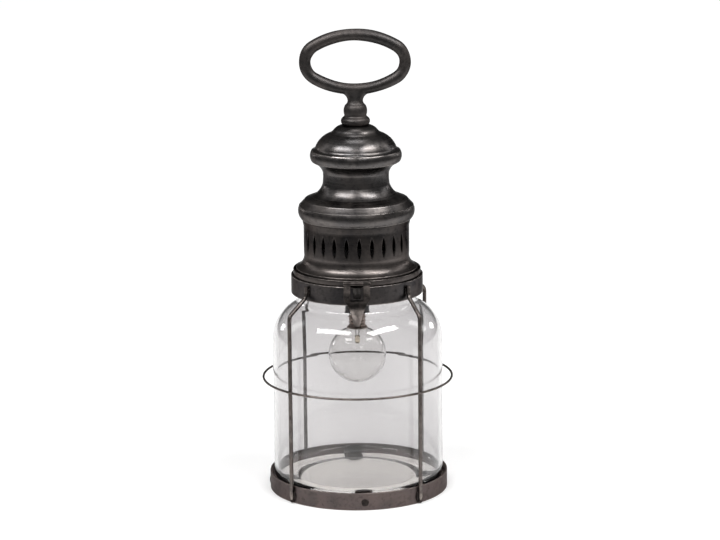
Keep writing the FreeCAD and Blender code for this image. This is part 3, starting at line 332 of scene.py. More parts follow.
def sheeted(made, wall):
    """Turns an open skin to face away from the lantern's axis and gives it a wall on its inside."""
    if sum(p.normal.dot(Vector((p.center.x, p.center.y, 0))) for p in made.data.polygons) < 0:
        made.data.flip_normals()
    sheet = made.modifiers.new("sheet", "SOLIDIFY")
    sheet.thickness = wall * MM
    sheet.offset = -1


def eased(node, material, bevel):
    """Copy of a CAD node as one welded mesh, with its corners eased by a small bevel."""
    made = placed(node + "_eased", frame["nodes"][node].data.copy())
    shape = bmesh.new()
    shape.from_mesh(made.data)
    bmesh.ops.remove_doubles(shape, verts=shape.verts, dist=1e-6)
    bmesh.ops.dissolve_limit(shape, angle_limit=math.radians(1), verts=shape.verts, edges=shape.edges)
    shape.to_mesh(made.data)
    shape.free()
    loose_normals = made.data.attributes.get("custom_normal")
    if loose_normals is not None:
        made.data.attributes.remove(loose_normals)
    cut = made.modifiers.new("eased corners", "BEVEL")
    cut.width = bevel * MM
    cut.segments = 2
    cut.limit_method = "ANGLE"
    cut.angle_limit = math.radians(40)
    mesh = bpy.data.meshes.new_from_object(made.evaluated_get(bpy.context.evaluated_depsgraph_get()))
    bpy.data.objects.remove(made)
    finished(node + "_eased", mesh, material, frame["nodes"][node]["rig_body"], (node,), 35)


# ---- materials -----------------------------------------------------------------------------------
def add(tree, kind, inputs=None, **settings):
    """Node of a kind, with its settings, and each named input joined to a socket or set to a number or to a
    colour of three parts."""
    made = tree.nodes.new("ShaderNode" + kind)
    for key, value in settings.items():
        setattr(made, key, value)
    for key, value in (inputs or {}).items():
        if isinstance(value, bpy.types.NodeSocket):
            tree.links.new(value, made.inputs[key])
        elif isinstance(value, tuple):
            made.inputs[key].default_value = (*value, 1.0)
        else:
            made.inputs[key].default_value = value
    return made


def emptied(owner):
    """Node tree of a new material or world, without nodes."""
    owner.use_nodes = True
    owner.node_tree.nodes.clear()
    return owner.node_tree


def blank(name):
    """New material with only a Principled shader and its output."""
    material = bpy.data.materials.new(name)
    tree = emptied(material)
    shader = add(tree, "BsdfPrincipled")
    add(tree, "OutputMaterial", {"Surface": shader.outputs[0]})
    return material, tree, shader


def dimmed(tone, share):
    """A colour times a share."""
    return tuple(share * part for part in tone)


def noise(tree, where, scale, detail=4.0, roughness=0.55, **inputs):
    """Noise texture at a place, with about scale blotches to the metre."""
    return add(tree, "TexNoise", {"Vector": where, "Scale": scale, "Detail": detail,
                                  "Roughness": roughness, **inputs}).outputs["Fac"]


def ranged(tree, value, low, high, to_low=0.0, to_high=1.0):
    """A value brought from low..high to to_low..to_high, and held there."""
    return add(tree, "MapRange", {"Value": value, "From Min": low, "From Max": high,
                                  "To Min": to_low, "To Max": to_high}).outputs["Result"]


def mixed(tree, share, first, second):
    """Colour between the first, at share 0, and the second, at share 1."""
    return add(tree, "Mix", {0: share, 6: first, 7: second}, data_type="RGBA").outputs[2]


def maths(tree, operation, first, second):
    return add(tree, "Math", {0: first, 1: second}, operation=operation).outputs[0]


def object_place(tree):
    return add(tree, "TexCoord").outputs["Object"]


def spun_lines(tree, where):
    """Fine rings left by the spinning tool: noise stretched round the axis and fast along the profile."""
    split = add(tree, "SeparateXYZ", {0: where})
    along = add(tree, "Attribute", attribute_name="along").outputs["Fac"]
    place = add(tree, "CombineXYZ", {0: maths(tree, "MULTIPLY", split.outputs[0], 18.0),
                                     1: maths(tree, "MULTIPLY", split.outputs[1], 18.0),
                                     2: maths(tree, "MULTIPLY", along, 900.0)}).outputs[0]
    return noise(tree, place, 1.0, 5.0, 0.6)


def skinned(tree, shader, tone, rough, relief, strength, distance):
    """Shader given its colour, its roughness and the relief of its skin."""
    bump = add(tree, "Bump", {"Strength": strength, "Distance": distance, "Height": relief})
    tree.links.new(tone, shader.inputs["Base Color"])
    tree.links.new(rough, shader.inputs["Roughness"])
    tree.links.new(bump.outputs[0], shader.inputs["Normal"])


def patina(name, ground, bloom, worn_and_highlight_tone, smooth, dull, lines=0.0, pits=0.0, edge_from=0.12, edge_to=0.5,
           edge_share=0.7, tint=0.35, painted_highlight_band=None):
    """Darkened metal: blotches between the ground and the bloom, dark specks, edges with wear, and roughness
    and relief from the same noises. lines is the depth of spun lines and pits that of a coarse skin. The last
    argument is a painted highlight: the height in metres where it begins to brighten the metal, the height
    where it is brightest, and how much; it takes the tone of the wear and is spotted by the mottle."""
    material, tree, shader = blank(name)
    where = object_place(tree)
    blotch = noise(tree, where, 42.0, 6.0, 0.62, Distortion=0.4)
    mottle = noise(tree, where, 260.0, 5.0, 0.65)
    grain = noise(tree, where, 1500.0, 3.0, 0.6)
    tone = mixed(tree, ranged(tree, blotch, 0.38, 0.66), ground, bloom)
    speck = mixed(tree, ranged(tree, mottle, 0.50, 0.72, 0.0, 0.72), tone, dimmed(ground, 0.45))
    edge = add(tree, "Attribute", attribute_name="edge").outputs["Fac"]
    wear_and_painted_highlight = maths(tree, "MULTIPLY", ranged(tree, edge, edge_from, edge_to, 0.0, edge_share),
                   ranged(tree, mottle, 0.34, 0.62))
    # painted highlight: a band of height brightened to the tone of the wear, standing in for light on an
    # upturned face
    if painted_highlight_band:
        begins, fully, brighter = painted_highlight_band
        height = add(tree, "SeparateXYZ", {0: where}).outputs[2]
        painted_highlight = maths(tree, "MULTIPLY", ranged(tree, height, begins, fully),
                      ranged(tree, mottle, 0.25, 0.6, 0.25 * brighter, brighter))
        wear_and_painted_highlight = maths(tree, "MAXIMUM", wear_and_painted_highlight, painted_highlight)
    base = mixed(tree, wear_and_painted_highlight, speck, worn_and_highlight_tone)
    rough = ranged(tree, blotch, 0.3, 0.7, smooth, dull)
    relief = maths(tree, "MULTIPLY", mottle, 0.6 + pits)
    relief = maths(tree, "ADD", relief, maths(tree, "MULTIPLY", grain, 0.18))
    if lines:
        rings = spun_lines(tree, where)
        rough = maths(tree, "ADD", rough, ranged(tree, rings, 0.3, 0.7, -0.05, 0.07))
        base = mixed(tree, ranged(tree, rings, 0.5, 0.75, 0.0, 0.35), base, bloom)
        relief = maths(tree, "ADD", relief, maths(tree, "MULTIPLY", rings, lines))
    skinned(tree, shader, base, rough, relief, 0.45, 0.0003)
    shader.inputs["Metallic"].default_value = 1.0
    shader.inputs["Specular Tint"].default_value = (tint, tint, tint, 1.0)
    return material


def clear_glass(name, tint, waviness, haze, foot=None):
    """Clear glass with faint waves and seeds from its making, and a tone of its own in its thick foot; lamps
    shine through it."""
    foot_begins, foot_full = 0.016, 0.010        # heights of the foot's tone, in metres
    material, tree, shader = blank(name)
    where = object_place(tree)
    wave = noise(tree, where, 14.0, 2.0, 0.4)
    seeds = noise(tree, where, 420.0, 2.0, 0.5)
    relief = maths(tree, "ADD", wave, maths(tree, "MULTIPLY", seeds, 0.01))
    tone = mixed(tree, ranged(tree, wave, 0.35, 0.65), tint, dimmed(tint, 0.97))
    if foot:
        height = add(tree, "SeparateXYZ", {0: where}).outputs[2]
        tone = mixed(tree, ranged(tree, height, foot_begins, foot_full), tone, foot)
    skinned(tree, shader, tone, ranged(tree, wave, 0.3, 0.7, 0.0, haze), relief, waviness, 0.004)
    shader.inputs["Transmission Weight"].default_value = 1.0
    shader.inputs["IOR"].default_value = 1.48
    passing = add(tree, "BsdfTransparent", {"Color": tint})
    shadow = add(tree, "LightPath").outputs["Is Shadow Ray"]
    either = add(tree, "MixShader", {0: shadow, 1: shader.outputs[0], 2: passing.outputs[0]})
    output = next(n for n in tree.nodes if n.type == "OUTPUT_MATERIAL")
    tree.links.new(either.outputs[0], output.inputs["Surface"])
    return material


def moulded(name, base, shift, smooth, dull, fine=900.0, strength=0.15, clear=0.0):
    """Moulded plastic or resin: slight clouding, a fine spark-eroded grain, and marks of handling."""
    material, tree, shader = blank(name)
    where = object_place(tree)
    cloud = noise(tree, where, 60.0, 4.0)
    grain = noise(tree, where, fine, 2.0, 0.5)
    marks = noise(tree, where, 190.0, 6.0, 0.7)
    tone = mixed(tree, ranged(tree, cloud, 0.35, 0.65), base, shift)
    skinned(tree, shader, tone, ranged(tree, marks, 0.35, 0.65, smooth, dull), grain, strength, 0.0002)
    shader.inputs["Transmission Weight"].default_value = clear
    return material


hood_finish = patina("antique hood metal", (0.094, 0.090, 0.091), (0.154, 0.140, 0.133),
                     (0.62, 0.57, 0.54), 0.24, 0.34, lines=0.10)
# the gallery's foot flare below the slots is brightened by height: painted highlight
gallery_finish = patina("antique gallery metal", (0.038, 0.036, 0.037), (0.084, 0.073, 0.068),
                        (0.50, 0.44, 0.41), 0.27, 0.37, lines=0.3, painted_highlight_band=(0.200, 0.186, 0.20))
cast_finish = patina("cast handle metal", (0.066, 0.062, 0.061), (0.105, 0.093, 0.088),
                     (0.30, 0.27, 0.25), 0.40, 0.54, pits=0.9)
collar_finish = patina("collar metal", (0.068, 0.064, 0.066), (0.108, 0.097, 0.094),
                       (0.74, 0.66, 0.62), 0.28, 0.36, lines=0.25)
base_finish = patina("base band metal", (0.098, 0.082, 0.080), (0.150, 0.119, 0.112),
                     (0.50, 0.43, 0.40), 0.38, 0.50, lines=0.35, tint=0.5)
wire_finish = patina("cage wire metal", (0.050, 0.045, 0.044), (0.100, 0.083, 0.077),
                     (0.40, 0.35, 0.32), 0.30, 0.44, tint=0.5)
weld_finish = patina("weld metal", (0.022, 0.020, 0.020), (0.050, 0.041, 0.037),
                     (0.16, 0.13, 0.12), 0.38, 0.55, pits=1.6)
latch_finish = patina("latch metal", (0.034, 0.031, 0.030), (0.066, 0.056, 0.052),
                      (0.36, 0.31, 0.29), 0.28, 0.40, edge_from=0.3, edge_to=0.8, edge_share=0.45)
# the hasp's thumb tongue is brightened by height: painted highlight
hasp_finish = patina("hasp metal", (0.017, 0.016, 0.016), (0.036, 0.031, 0.029),
                     (0.42, 0.36, 0.33), 0.28, 0.40, edge_from=0.3, edge_to=0.8, edge_share=0.4,
                     painted_highlight_band=(0.160, 0.150, 0.36))
# the keeper is made near black: painted shade of the hasp's window that it sits in
keeper_painted_shade_finish = patina("keeper in painted shade", (0.010, 0.010, 0.010), (0.022, 0.020, 0.019),
                    (0.20, 0.18, 0.17), 0.24, 0.34, edge_share=0.25, tint=0.2)
brass_finish = patina("lamp brass", (0.42, 0.27, 0.12), (0.30, 0.18, 0.09),
                      (0.68, 0.50, 0.27), 0.26, 0.40, tint=0.8)
cap_finish = patina("plated lamp cap", (0.46, 0.39, 0.35), (0.36, 0.29, 0.25),
                    (0.80, 0.74, 0.70), 0.24, 0.38, tint=0.8)
steel_finish = patina("plated steel", (0.52, 0.51, 0.49), (0.40, 0.39, 0.37),
                      (0.75, 0.74, 0.72), 0.22, 0.36, tint=0.9)
jar_finish = clear_glass("blown jar glass", (0.758, 0.747, 0.750), 0.035, 0.010, foot=(0.925, 0.915, 0.885))
lamp_finish = clear_glass("lamp glass", (0.975, 0.972, 0.965), 0.03, 0.004)
black_finish = moulded("black moulded plastic", (0.018, 0.017, 0.017), (0.030, 0.028, 0.027), 0.32, 0.5)
insulator_finish = moulded("black vitreous insulator", (0.012, 0.012, 0.014), (0.022, 0.020, 0.022),
                           0.12, 0.22, fine=500.0, strength=0.05)
resin_finish = moulded("clear amber bead", (1.0, 0.93, 0.80), (0.98, 0.84, 0.62), 0.04, 0.12,
                       fine=500.0, strength=0.03, clear=0.9)
wrap_finish = moulded("cell wrap", (0.045, 0.10, 0.12), (0.060, 0.125, 0.14), 0.2, 0.32,
                      fine=700.0, strength=0.06)
white_finish = moulded("switch plastic", (0.70, 0.69, 0.66), (0.62, 0.61, 0.58), 0.3, 0.44)


# ---- hood ----------------------------------------------------------------------------------------
CAP_LIP = 34.2               # radius where the cap's rim rolls in
COWL_LIP = 42.9              # radius where the cowl's rim rolls in
SLOTS = 26
SLOT_TURN = 3.0              # degrees from the front to the middle of the nearest slot
SLOT_HALF_HEIGHT = 8.0
SLOT_HALF_WIDTH = 1.65
slot_middle = gallery_low + 26.1


def top_cap():
    """Spun cap: flat seat, bell-shaped crown, dome, and a deep rim that rolls in above and below."""
    top, low, lip = cap_high, cap_low, CAP_LIP
    hole, crown, dome, rim = 3.1, 17.1, 31.1, 35.35
    rim_top = low + 8.45
    skin = formed((hole, top), (crown - 6.5, top), ((crown - 2.5, top - 1.5), (crown, top - 3.8)),
                  ((crown + 1.2, top - 5.05), (crown + 3.1, top - 6.3)),
                  ((dome - 4.4, top - 10.2), (dome - 0.1, rim_top + 3.0)),
                  ((dome + 0.9, rim_top + 1.2), (lip, rim_top)), ((rim, low + 3.25), (lip + 0.12, low + 0.3)),
                  ((lip - 0.05, low + 0.05), (lip - 0.3, low)))
    lathe("top_cap_spun", walled(skin, SHEET), hood_finish, "hood", "hood_metal", ("top_cap",), 0.10)


def waist_cowl():
    """Spun cowl: flange in the cap's rim, narrow waist, cove, round shoulder, and a rim that rolls in."""
    low, lip, flange = cowl_low, COWL_LIP, CAP_LIP - SHEET - NEST
    waist, shoulder, rim = 25.5, 39.9, 45.1
    rim_z = low + 10.4
    shoulder_z = rim_z + 4.6
    waist_z = shoulder_z + 15.5
    skin = formed((flange, cowl_high), (flange, cowl_high - 1.65),
                  ((waist + 0.94, waist_z + 7.6), (waist + 0.05, waist_z + 5.4)),
                  ((waist, waist_z), (waist + 0.4, waist_z - 3.85)),
                  ((waist + 2.45, waist_z - 8.05), (waist + 6.55, waist_z - 12.3)),
                  ((shoulder - 4.75, shoulder_z + 1.85), (shoulder - 0.5, shoulder_z + 0.15)),
                  ((shoulder + 0.05, shoulder_z - 0.15), (shoulder + 0.4, shoulder_z - 0.6)),
                  ((shoulder + 2.4, shoulder_z - 2.8), (rim - 1.15, rim_z + 0.1)),
                  ((rim - 0.95, rim_z - 0.05), (rim - 0.85, rim_z - 0.45)),
                  ((rim, low + 6.0), (lip + 0.1, low + 0.3)), ((lip - 0.08, low + 0.03), (lip - 0.35, low)))
    lathe("waist_cowl_spun", walled(skin, SHEET), hood_finish, "hood", "hood_metal",
          ("waist_cowl",), 0.12)


def slot_half_width(z):
    """Half width of a lens-shaped slot at each height: a circle's sagitta, 0 outside the slot."""
    ball = (SLOT_HALF_HEIGHT ** 2 + SLOT_HALF_WIDTH ** 2) / (2 * SLOT_HALF_WIDTH)
    away = np.minimum(abs(z - slot_middle), SLOT_HALF_HEIGHT)
    return np.sqrt(ball ** 2 - away ** 2) - (ball - SLOT_HALF_WIDTH)


def vent_gallery():
    """Slotted drum from equal panels, each a grid between two slots: its angle runs from one slot's right
    edge to the next one's left edge, so that panels meet above and below the slots and part beside them."""
    low, lip, drum, foot = gallery_low, COWL_LIP - SHEET - NEST, 40.8, foot_radius
    crease, drum_top = low + 4.7, low + 37.0
    head = formed((lip, gallery_high), (lip, gallery_high - 2.0),
                  ((drum + 0.65, drum_top + 2.9), (drum, drum_top)),
                  (drum, slot_middle + SLOT_HALF_HEIGHT), pitch=0.55)
    rows = 32
    height = slot_middle + SLOT_HALF_HEIGHT * np.cos(np.linspace(0, np.pi, rows + 1))[1:]
    belt = np.stack([np.full(rows, drum), height], 1)
    flare = formed(tuple(belt[-1]), (drum, low + 15.6), ((drum + 1.3, low + 8.6), (foot - 0.6, crease)),
                   ((foot - 0.15, crease - 0.3), (foot, crease - 0.8)), (foot, low), pitch=0.55)
    skin = np.concatenate([head, belt, flare[1:]])
    half_pitch = math.pi / SLOTS
    half_panel = half_pitch - slot_half_width(skin[:, 1]) / skin[:, 0]
    across = np.linspace(-1, 1, 11)
    panels = []
    for k in range(SLOTS):
        middle = math.radians(SLOT_TURN - 90) + (2 * k + 1) * half_pitch
        angle = middle + half_panel[:, None] * across
        panels.append(gridded(spun(skin[:, :1], angle, skin[:, 1:])))
    points, faces = joined(panels)
    along = np.tile(np.repeat(run_length(skin), len(across)), SLOTS)
    made = surface("vent_gallery_pierced", points, faces, gallery_finish, "hood", "hood_metal",
                   ("vent_gallery",), along, crease=40, join=2e-6)
    sheeted(made, SHEET)


def hood_pan():
    """Ring pan: floor under the gallery, turned-up rim with a rounded edge, skirt inside the collar."""
    low, floor, high, rim = skirt_low, skirt_low + 3.8, pan_high, pan_radius
    skirt, hole = collar_radius - BAND - 1.0, 43.0
    section = [(hole, floor), (skirt - SHEET, floor), (skirt - SHEET, low), (skirt, low), (skirt, floor),
               (rim, floor), (rim, high), (rim - SHEET, high), (rim - SHEET, floor + SHEET),
               (hole, floor + SHEET)]
    lathe("hood_pan_spun", rounded(section, 0.42), gallery_finish, "hood", "hood_metal",
          ("hood_pan",), 0.15)


def handle():
    """Cast handle. The loop is an oval of four tangent arcs that carries a round section, which swells and
    thins in slow waves; the stem is a turned profile and the saddle a stack of ovals. A remesh melts them
    into one casting."""
    low, bar, half_high, end_radius = handle_low, 4.7, 21.0, 14.5
    half_wide, middle = loop_reach - bar, handle_high - bar - half_high
    flat = (half_wide * half_wide + half_high * half_high - 2 * half_wide * end_radius) / (
        2 * (half_high - end_radius))
    lean = math.atan2(half_wide - end_radius, flat - half_high)
    quarter = math.pi / 2
    runs = []
    for x, z, radius, first, last in (
            (0, middle - half_high + flat, flat, -quarter - lean, -quarter + lean),
            (half_wide - end_radius, middle, end_radius, -quarter + lean, quarter - lean),
            (0, middle + half_high - flat, flat, quarter - lean, quarter + lean),
            (end_radius - half_wide, middle, end_radius, quarter + lean, 3 * quarter - lean)):
        t = np.linspace(first, last, 64, endpoint=False)
        runs.append(np.stack([x + radius * np.cos(t), np.zeros_like(t), z + radius * np.sin(t)], 1))
    path = np.concatenate(runs)
    s = np.linspace(0, math.tau, len(path), endpoint=False)
    swell = 4.57 - 0.14 * np.sin(s + 0.5) + 0.10 * np.sin(4 * s + 1.0) + 0.07 * np.sin(9 * s)
    loop = tube(path, swell, np.array([0.0, 1.0, 0.0]), 28, True)
    profile = formed((0.02, low), (9.1, low), ((11.2, low + 2.6), (9.8, low + 6.0)), (8.5, low + 7.1),
                     (8.5, low + 8.0), ((9.1, low + 11.3), (7.9, low + 15.5)),
                     ((6.4, low + 17.2), (5.9, low + 18.6)), (0.02, low + 19.0))
    spin = np.linspace(0, math.tau, 65)
    stem = spun(profile[:, :1], spin, profile[:, 1:])
    up = np.linspace(0, 1, 24)[:, None]
    seat, loop_foot = low + 18.0, middle - half_high - 0.6
    x, y = (5.9 + 9.4 * up ** 2.6) * np.cos(spin), (5.9 - 1.5 * up ** 0.9) * np.sin(spin)
    saddle = np.stack([x, y, np.broadcast_to(seat + (loop_foot - seat) * up, x.shape)], -1)
    saddle = capped(saddle, saddle[0].mean(0), saddle[-1].mean(0))
    points, faces = joined([loop, gridded(stem), gridded(saddle)])
    cast = surface("handle_cast", points, faces, cast_finish, "hood", "cast_metal", ("handle",),
                   crease=180, join=1e-5)
    melt = cast.modifiers.new("casting", "REMESH")
    melt.mode = "VOXEL"
    melt.voxel_size = 0.42 * MM
    melt.use_smooth_shade = True
    relax = cast.modifiers.new("fillets", "SMOOTH")
    relax.factor = 0.5
    relax.iterations = 6


# ---- cage ----------------------------------------------------------------------------------------
# angles of each post at its foot and at the collar, in degrees from +X
POSTS = {"post_front_left": (223.4, 222.6), "post_front_right": (312.1, 318.4),
         "post_rear_right": (41.2, 41.2), "post_rear_left": (128.2, 128.2)}


def rolled_band(node, finish, wobble):
    """Rolled band with softly dressed edges and slight waves from the rolls."""
    radius, low, high = reach(node)
    section = [(radius - BAND, low), (radius, low), (radius, high), (radius - BAND, high)]
    profile = dense(rounded(section, 0.5))
    lathe(node + "_dressed", profile, finish, "cage", "band_metal", (node,), wobble)


def post_path(foot_angle, collar_angle):
    """Line of a post: upright, quadratic bend, slope, quadratic bend, upright; it may lean sideways."""
    low, high = heights("post_front_left")
    foot, neck = base_radius + WIRE + SOLDER, collar_radius + WIRE + SOLDER
    bend_length = 3.4
    corners = [polar(foot, foot_angle, low), polar(foot, foot_angle, collar_low - 8.7),
               polar(neck, collar_angle, collar_low + 3.3), polar(neck, collar_angle, high)]
    t = np.linspace(0, 1, 11)[:, None]
    pieces = [corners[0][None]]
    for before, corner, after in zip(corners, corners[1:], corners[2:]):
        first, last = towards(corner, before, bend_length), towards(corner, after, bend_length)
        pieces += [straight(pieces[-1][-1], first, 29)[:-1], bend(first, corner, last, t)]
    pieces.append(straight(pieces[-1][-1], corners[-1], 9))
    return np.concatenate(pieces)


def posts():
    """Four drawn wires with ends rounded by the file."""
    filed = 0.7
    for name, (foot_angle, collar_angle) in POSTS.items():
        path = post_path(foot_angle, collar_angle)
        along = run_length(path)
        from_end = np.minimum(along, along[-1] - along)
        radius = WIRE * np.sqrt(np.clip(1 - np.clip(1 - from_end / filed, 0, 1) ** 2, 0.02, 1))
        points, faces = tube(path, radius, polar(1.0, foot_angle + 90, 0.0), 20)
        surface(name + "_drawn", points, faces, wire_finish, "cage", "wire_metal", (name,), crease=60)


def bead(half, seed, centre, turn):
    """Weld bead: an ellipsoid of three half sizes whose radius ripples by sines of both angles."""
    u, v = np.meshgrid(np.linspace(0, math.tau, 41), np.linspace(0, math.pi, 21))
    ripple = 1 + 0.07 * np.sin(3 * u + seed) * np.sin(2 * v) + 0.05 * np.sin(5 * v + 2 * seed) * np.sin(v)
    x, y, z = half
    ball = np.stack([x * np.sin(v) * np.cos(u), y * np.sin(v) * np.sin(u), z * np.cos(v)], -1)
    return gridded(turned(ball * ripple[..., None] + np.array(centre), turn))


def weld_beads():
    """Beads where the wires meet the base band, the collar and the guard ring."""
    foot_z, band_z, collar_z = 2.0, 5.6, collar_low + 7.3
    beads = []
    for k, (foot_angle, collar_angle) in enumerate(POSTS.values()):
        for side in (-1, 1):
            at_band = (base_radius + 0.4, 1.7 * side, band_z)
            at_collar = (collar_radius + 0.4, 1.6 * side, collar_z)
            beads.append(bead((0.95, 1.5, 3.6), k + side, at_band, foot_angle))
            beads.append(bead((0.7, 1.0, 2.6), k + 3 * side, at_collar, collar_angle))
        beads.append(bead((0.8, 1.0, 0.95), k + 5, (ring_radius - 1.85, 0.9, ring_middle), foot_angle))
        beads.append(bead((1.35, 1.8, 1.45), k + 8, (base_radius + 1.3, 0, foot_z), foot_angle))
    points, faces = joined(beads)
    surface("weld_beads", points, faces, weld_finish, "cage", "wire_metal", crease=60)


def guard_ring():
    """Bent wire hoop: a small circle carried round the axis, with slow waves in its radius."""
    wire = (ring_high - ring_low) / 2
    angle = np.linspace(0, math.tau, 288, endpoint=False)
    radius = ring_radius - wire - 0.12 + 0.10 * np.sin(2 * angle + 1) + 0.02 * np.sin(7 * angle)
    points, faces = tube(spun(radius, angle, ring_middle), wire - 0.01, np.array([0.0, 0.0, 1.0]), 16, True)
    surface("guard_ring_bent", points, faces, wire_finish, "cage", "wire_metal", ("guard_ring",),
            crease=60)


def rest_rivets():
    """Round rivet heads on the base band: a dome profile turned about each rivet's own axis, hammered a
    little out of round, with the shank and the set tail inside."""
    low, high = heights("rest_rivets")
    z, out, wall = (low + high) / 2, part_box("rest_rivets")[1].y / MM, base_radius
    first_turn = -86                 # degrees of the front rivet from +X
    profile = formed((0.01, out), ((1.7, out - 0.14), (3.15, wall + 0.05)), (1.5, wall + 0.05),
                     (1.5, wall - 2.9), (2.3, wall - 2.95), (2.2, wall - 3.5), (0.01, wall - 3.55), pitch=0.2)
    spin = np.linspace(0, math.tau, 41)
    radius = profile[:, :1] * (1 + 0.03 * np.sin(3 * spin + 1) + 0.02 * np.sin(5 * spin))
    one = np.stack([np.broadcast_to(profile[:, 1:], radius.shape), radius * np.cos(spin),
                    z + radius * np.sin(spin)], -1)
    points, faces = joined([gridded(turned(one, first_turn + 90 * k)) for k in range(4)])
    surface("rest_rivets_set", points, faces, weld_finish, "cage", "latch_metal", ("rest_rivets",),
            crease=45)


# ---- glass and lamp ------------------------------------------------------------------------------
def glass_jar():
    """Blown jar as one closed shell of even wall over a thick base that is hollowed a little below. The
    shoulder is an arc of radius big about (side - big, shoulder_z), the foot of the neck a hollow arc of
    radius small about (neck + small, neck_z); they touch where the line between their centres leans so that
    cos(lean) = (neck + small - side + big) / (big + small)."""
    side, neck, low, mouth = jar_radius, 45.6, jar_low, jar_high
    big, small, wall, heel, neck_z = 31.0, 5.0, 2.6, 12.0, mouth - 10.3
    lean = math.acos((neck + small - side + big) / (big + small))
    shoulder_z = neck_z - (big + small) * math.sin(lean)
    heel_in = heel * (1 - math.sqrt(0.5))

    def shoulder(angle, depth):
        return side - big + (big - depth) * math.cos(angle), shoulder_z + (big - depth) * math.sin(angle)

    def neck_foot(angle, depth):
        return neck + small - (small + depth) * math.cos(angle), neck_z - (small + depth) * math.sin(angle)

    profile = formed(
        (0.0, low + 1.9), ((22.0, low + 1.8), (42.0, low + 1.6)), ((45.0, low + 1.4), (46.8, low + 0.7)),
        ((48.4, low + 0.1), (side - heel, low)), ((side - heel_in, low + heel_in), (side, low + heel)),
        (side, shoulder_z), (shoulder(lean / 2, 0), shoulder(lean, 0)),
        (neck_foot(lean / 2, 0), neck_foot(0, 0)), (neck, mouth - wall / 2),
        ((neck - 0.15 * wall, mouth - 0.15 * wall), (neck - wall / 2, mouth)),
        ((neck - 0.85 * wall, mouth - 0.15 * wall), (neck - wall, mouth - wall / 2)), (neck - wall, neck_z),
        (neck_foot(lean / 2, wall), neck_foot(lean, wall)), (shoulder(lean / 2, wall), shoulder(0, wall)),
        (side - wall, low + heel + 3.0), ((side - wall - 2.7, low + 9.2), (side - heel, low + 6.6)),
        ((26.0, low + 7.9), (0.0, low + 8.4)), pitch=0.8)
    lathe("glass_jar_blown", profile, jar_finish, "cage", "jar_glass", ("glass_jar",), 0.12,
          crease=180)


def lamp_globe():
    """Blown globe and its neck as one closed thin shell."""
    ball, wall, neck = globe_radius, 0.8, 5.6
    centre = globe_low + ball
    wide = neck + 1.2
    foot = centre + math.sqrt(ball * ball - wide ** 2)
    narrow = wide - 0.75 * wall
    inner_foot = centre + math.sqrt((ball - wall) ** 2 - narrow ** 2)
    profile = formed((0.0, centre - ball), ((ball, centre), (wide, foot)),
                     ((neck + 0.25, foot + 0.7), (neck, foot + 1.6)), (neck, globe_high),
                     (neck - wall, globe_high), (neck - wall, inner_foot + 2.2),
                     ((neck - 0.6 * wall, inner_foot + 1.0), (narrow, inner_foot)),
                     ((ball - wall, centre), (0.0, centre - ball + wall)), pitch=0.5)
    lathe("lamp_globe_blown", profile, lamp_finish, "lamp", "lamp_glass", ("lamp_globe",), circle=96,
          crease=60)


def lamp_cap():
    """Pressed cap: the shell's radius rises and falls by a cosine of the angle and the height, one rise to
    each pitch, which is the screw thread; flange at its foot, rounded shoulder at its top."""
    flange, shell, low, high = flange_radius, 6.6, flange_low, lamp_cap_high
    thread_pitch, thread_depth, thread_low, rows = 2.8, 0.28, flange_low + 2.4, 90
    foot = formed((flange - 0.75, low), (flange, low + 0.05), (flange, low + 0.8), (shell + 0.4, low + 1.9),
                  (shell - 0.05, thread_low), pitch=0.2)
    run = np.stack([np.full(rows, shell - 0.05), np.linspace(thread_low, high - 1.0, rows + 1)[1:]], 1)
    head = formed(tuple(run[-1]), ((shell - 0.3, high - 0.3), (shell - 1.3, high)), (4.4, high),
                  (4.4, high - 0.5), pitch=0.2)
    skin = np.concatenate([foot, run, head[1:]])
    radius, z = skin[:, :1], skin[:, 1:]
    share = np.clip((z - thread_low) / 1.2, 0, 1) * np.clip((high - 1.2 - z) / 1.2, 0, 1)
    angle = np.linspace(0, math.tau, 73)
    radius = radius - share * thread_depth * (1 - np.cos(angle - math.tau * z / thread_pitch))
    made = surface("lamp_cap_pressed", *gridded(spun(radius, angle, z)), cap_finish, "lamp", "lamp_brass",
                   ("lamp_cap",))
    sheeted(made, 0.3)


def lamp_holder():
    """Moulded holder: slim sleeve with a thicker lip, roof and nipple."""
    low, high, lip = holder_low, holder_high, holder_radius
    sleeve, bore, nipple, wire_hole, roof = lip - 0.6, 7.25, 5.0, 3.2, low + 16.0
    section = [(bore, low), (lip, low), (lip, low + 1.5), (sleeve, low + 2.0), (sleeve, roof),
               (sleeve - 0.7, roof + 3.4), (sleeve - 2.4, roof + 5.0), (sleeve - 2.4, plate_low),
               (nipple, plate_low), (nipple, high), (wire_hole, high), (wire_hole, roof), (bore, roof)]
    lathe("lamp_holder_moulded", rounded(section, 0.6), black_finish, "cage", "black_plastic",
          ("lamp_holder",), circle=96)


def lamp_bead():
    """Light source: a clear amber capsule with a collar at its top, hung on two wires."""
    low, high = heights("lamp_bead")
    r = 1.85
    profile = formed((0.0, low), ((0.71 * r, low + 0.29 * r), (r, low + r)), (r, high - 0.9),
                     (r + 0.25, high - 0.8), (r + 0.25, high - 0.2), (r - 0.3, high), (0.0, high), pitch=0.15)
    lathe("lamp_bead_cast", profile, resin_finish, "lamp", "bead_resin", ("lamp_bead",), circle=40)


def lamp_leads():
    """Two fine wires from the bead to the neck: straight, with a small bow in the middle given by a sine."""
    low, high = heights("lamp_leads")
    z = np.linspace(low, high, 40)
    bow = 0.35 * np.sin(np.pi * np.clip((z - low - 1) / 8.0, 0, 1))
    wires = []
    for side, share in ((-1, 0.6), (1, 1)):
        path = np.stack([side * (1.0 + bow * share), 0.2 * bow, z], 1)
        wires.append(tube(path, 0.33, np.array([0.0, 1.0, 0.0]), 10))
    points, faces = joined(wires)
    surface("lamp_leads_drawn", points, faces, steel_finish, "lamp", "bright_steel", ("lamp_leads",),
            crease=60)


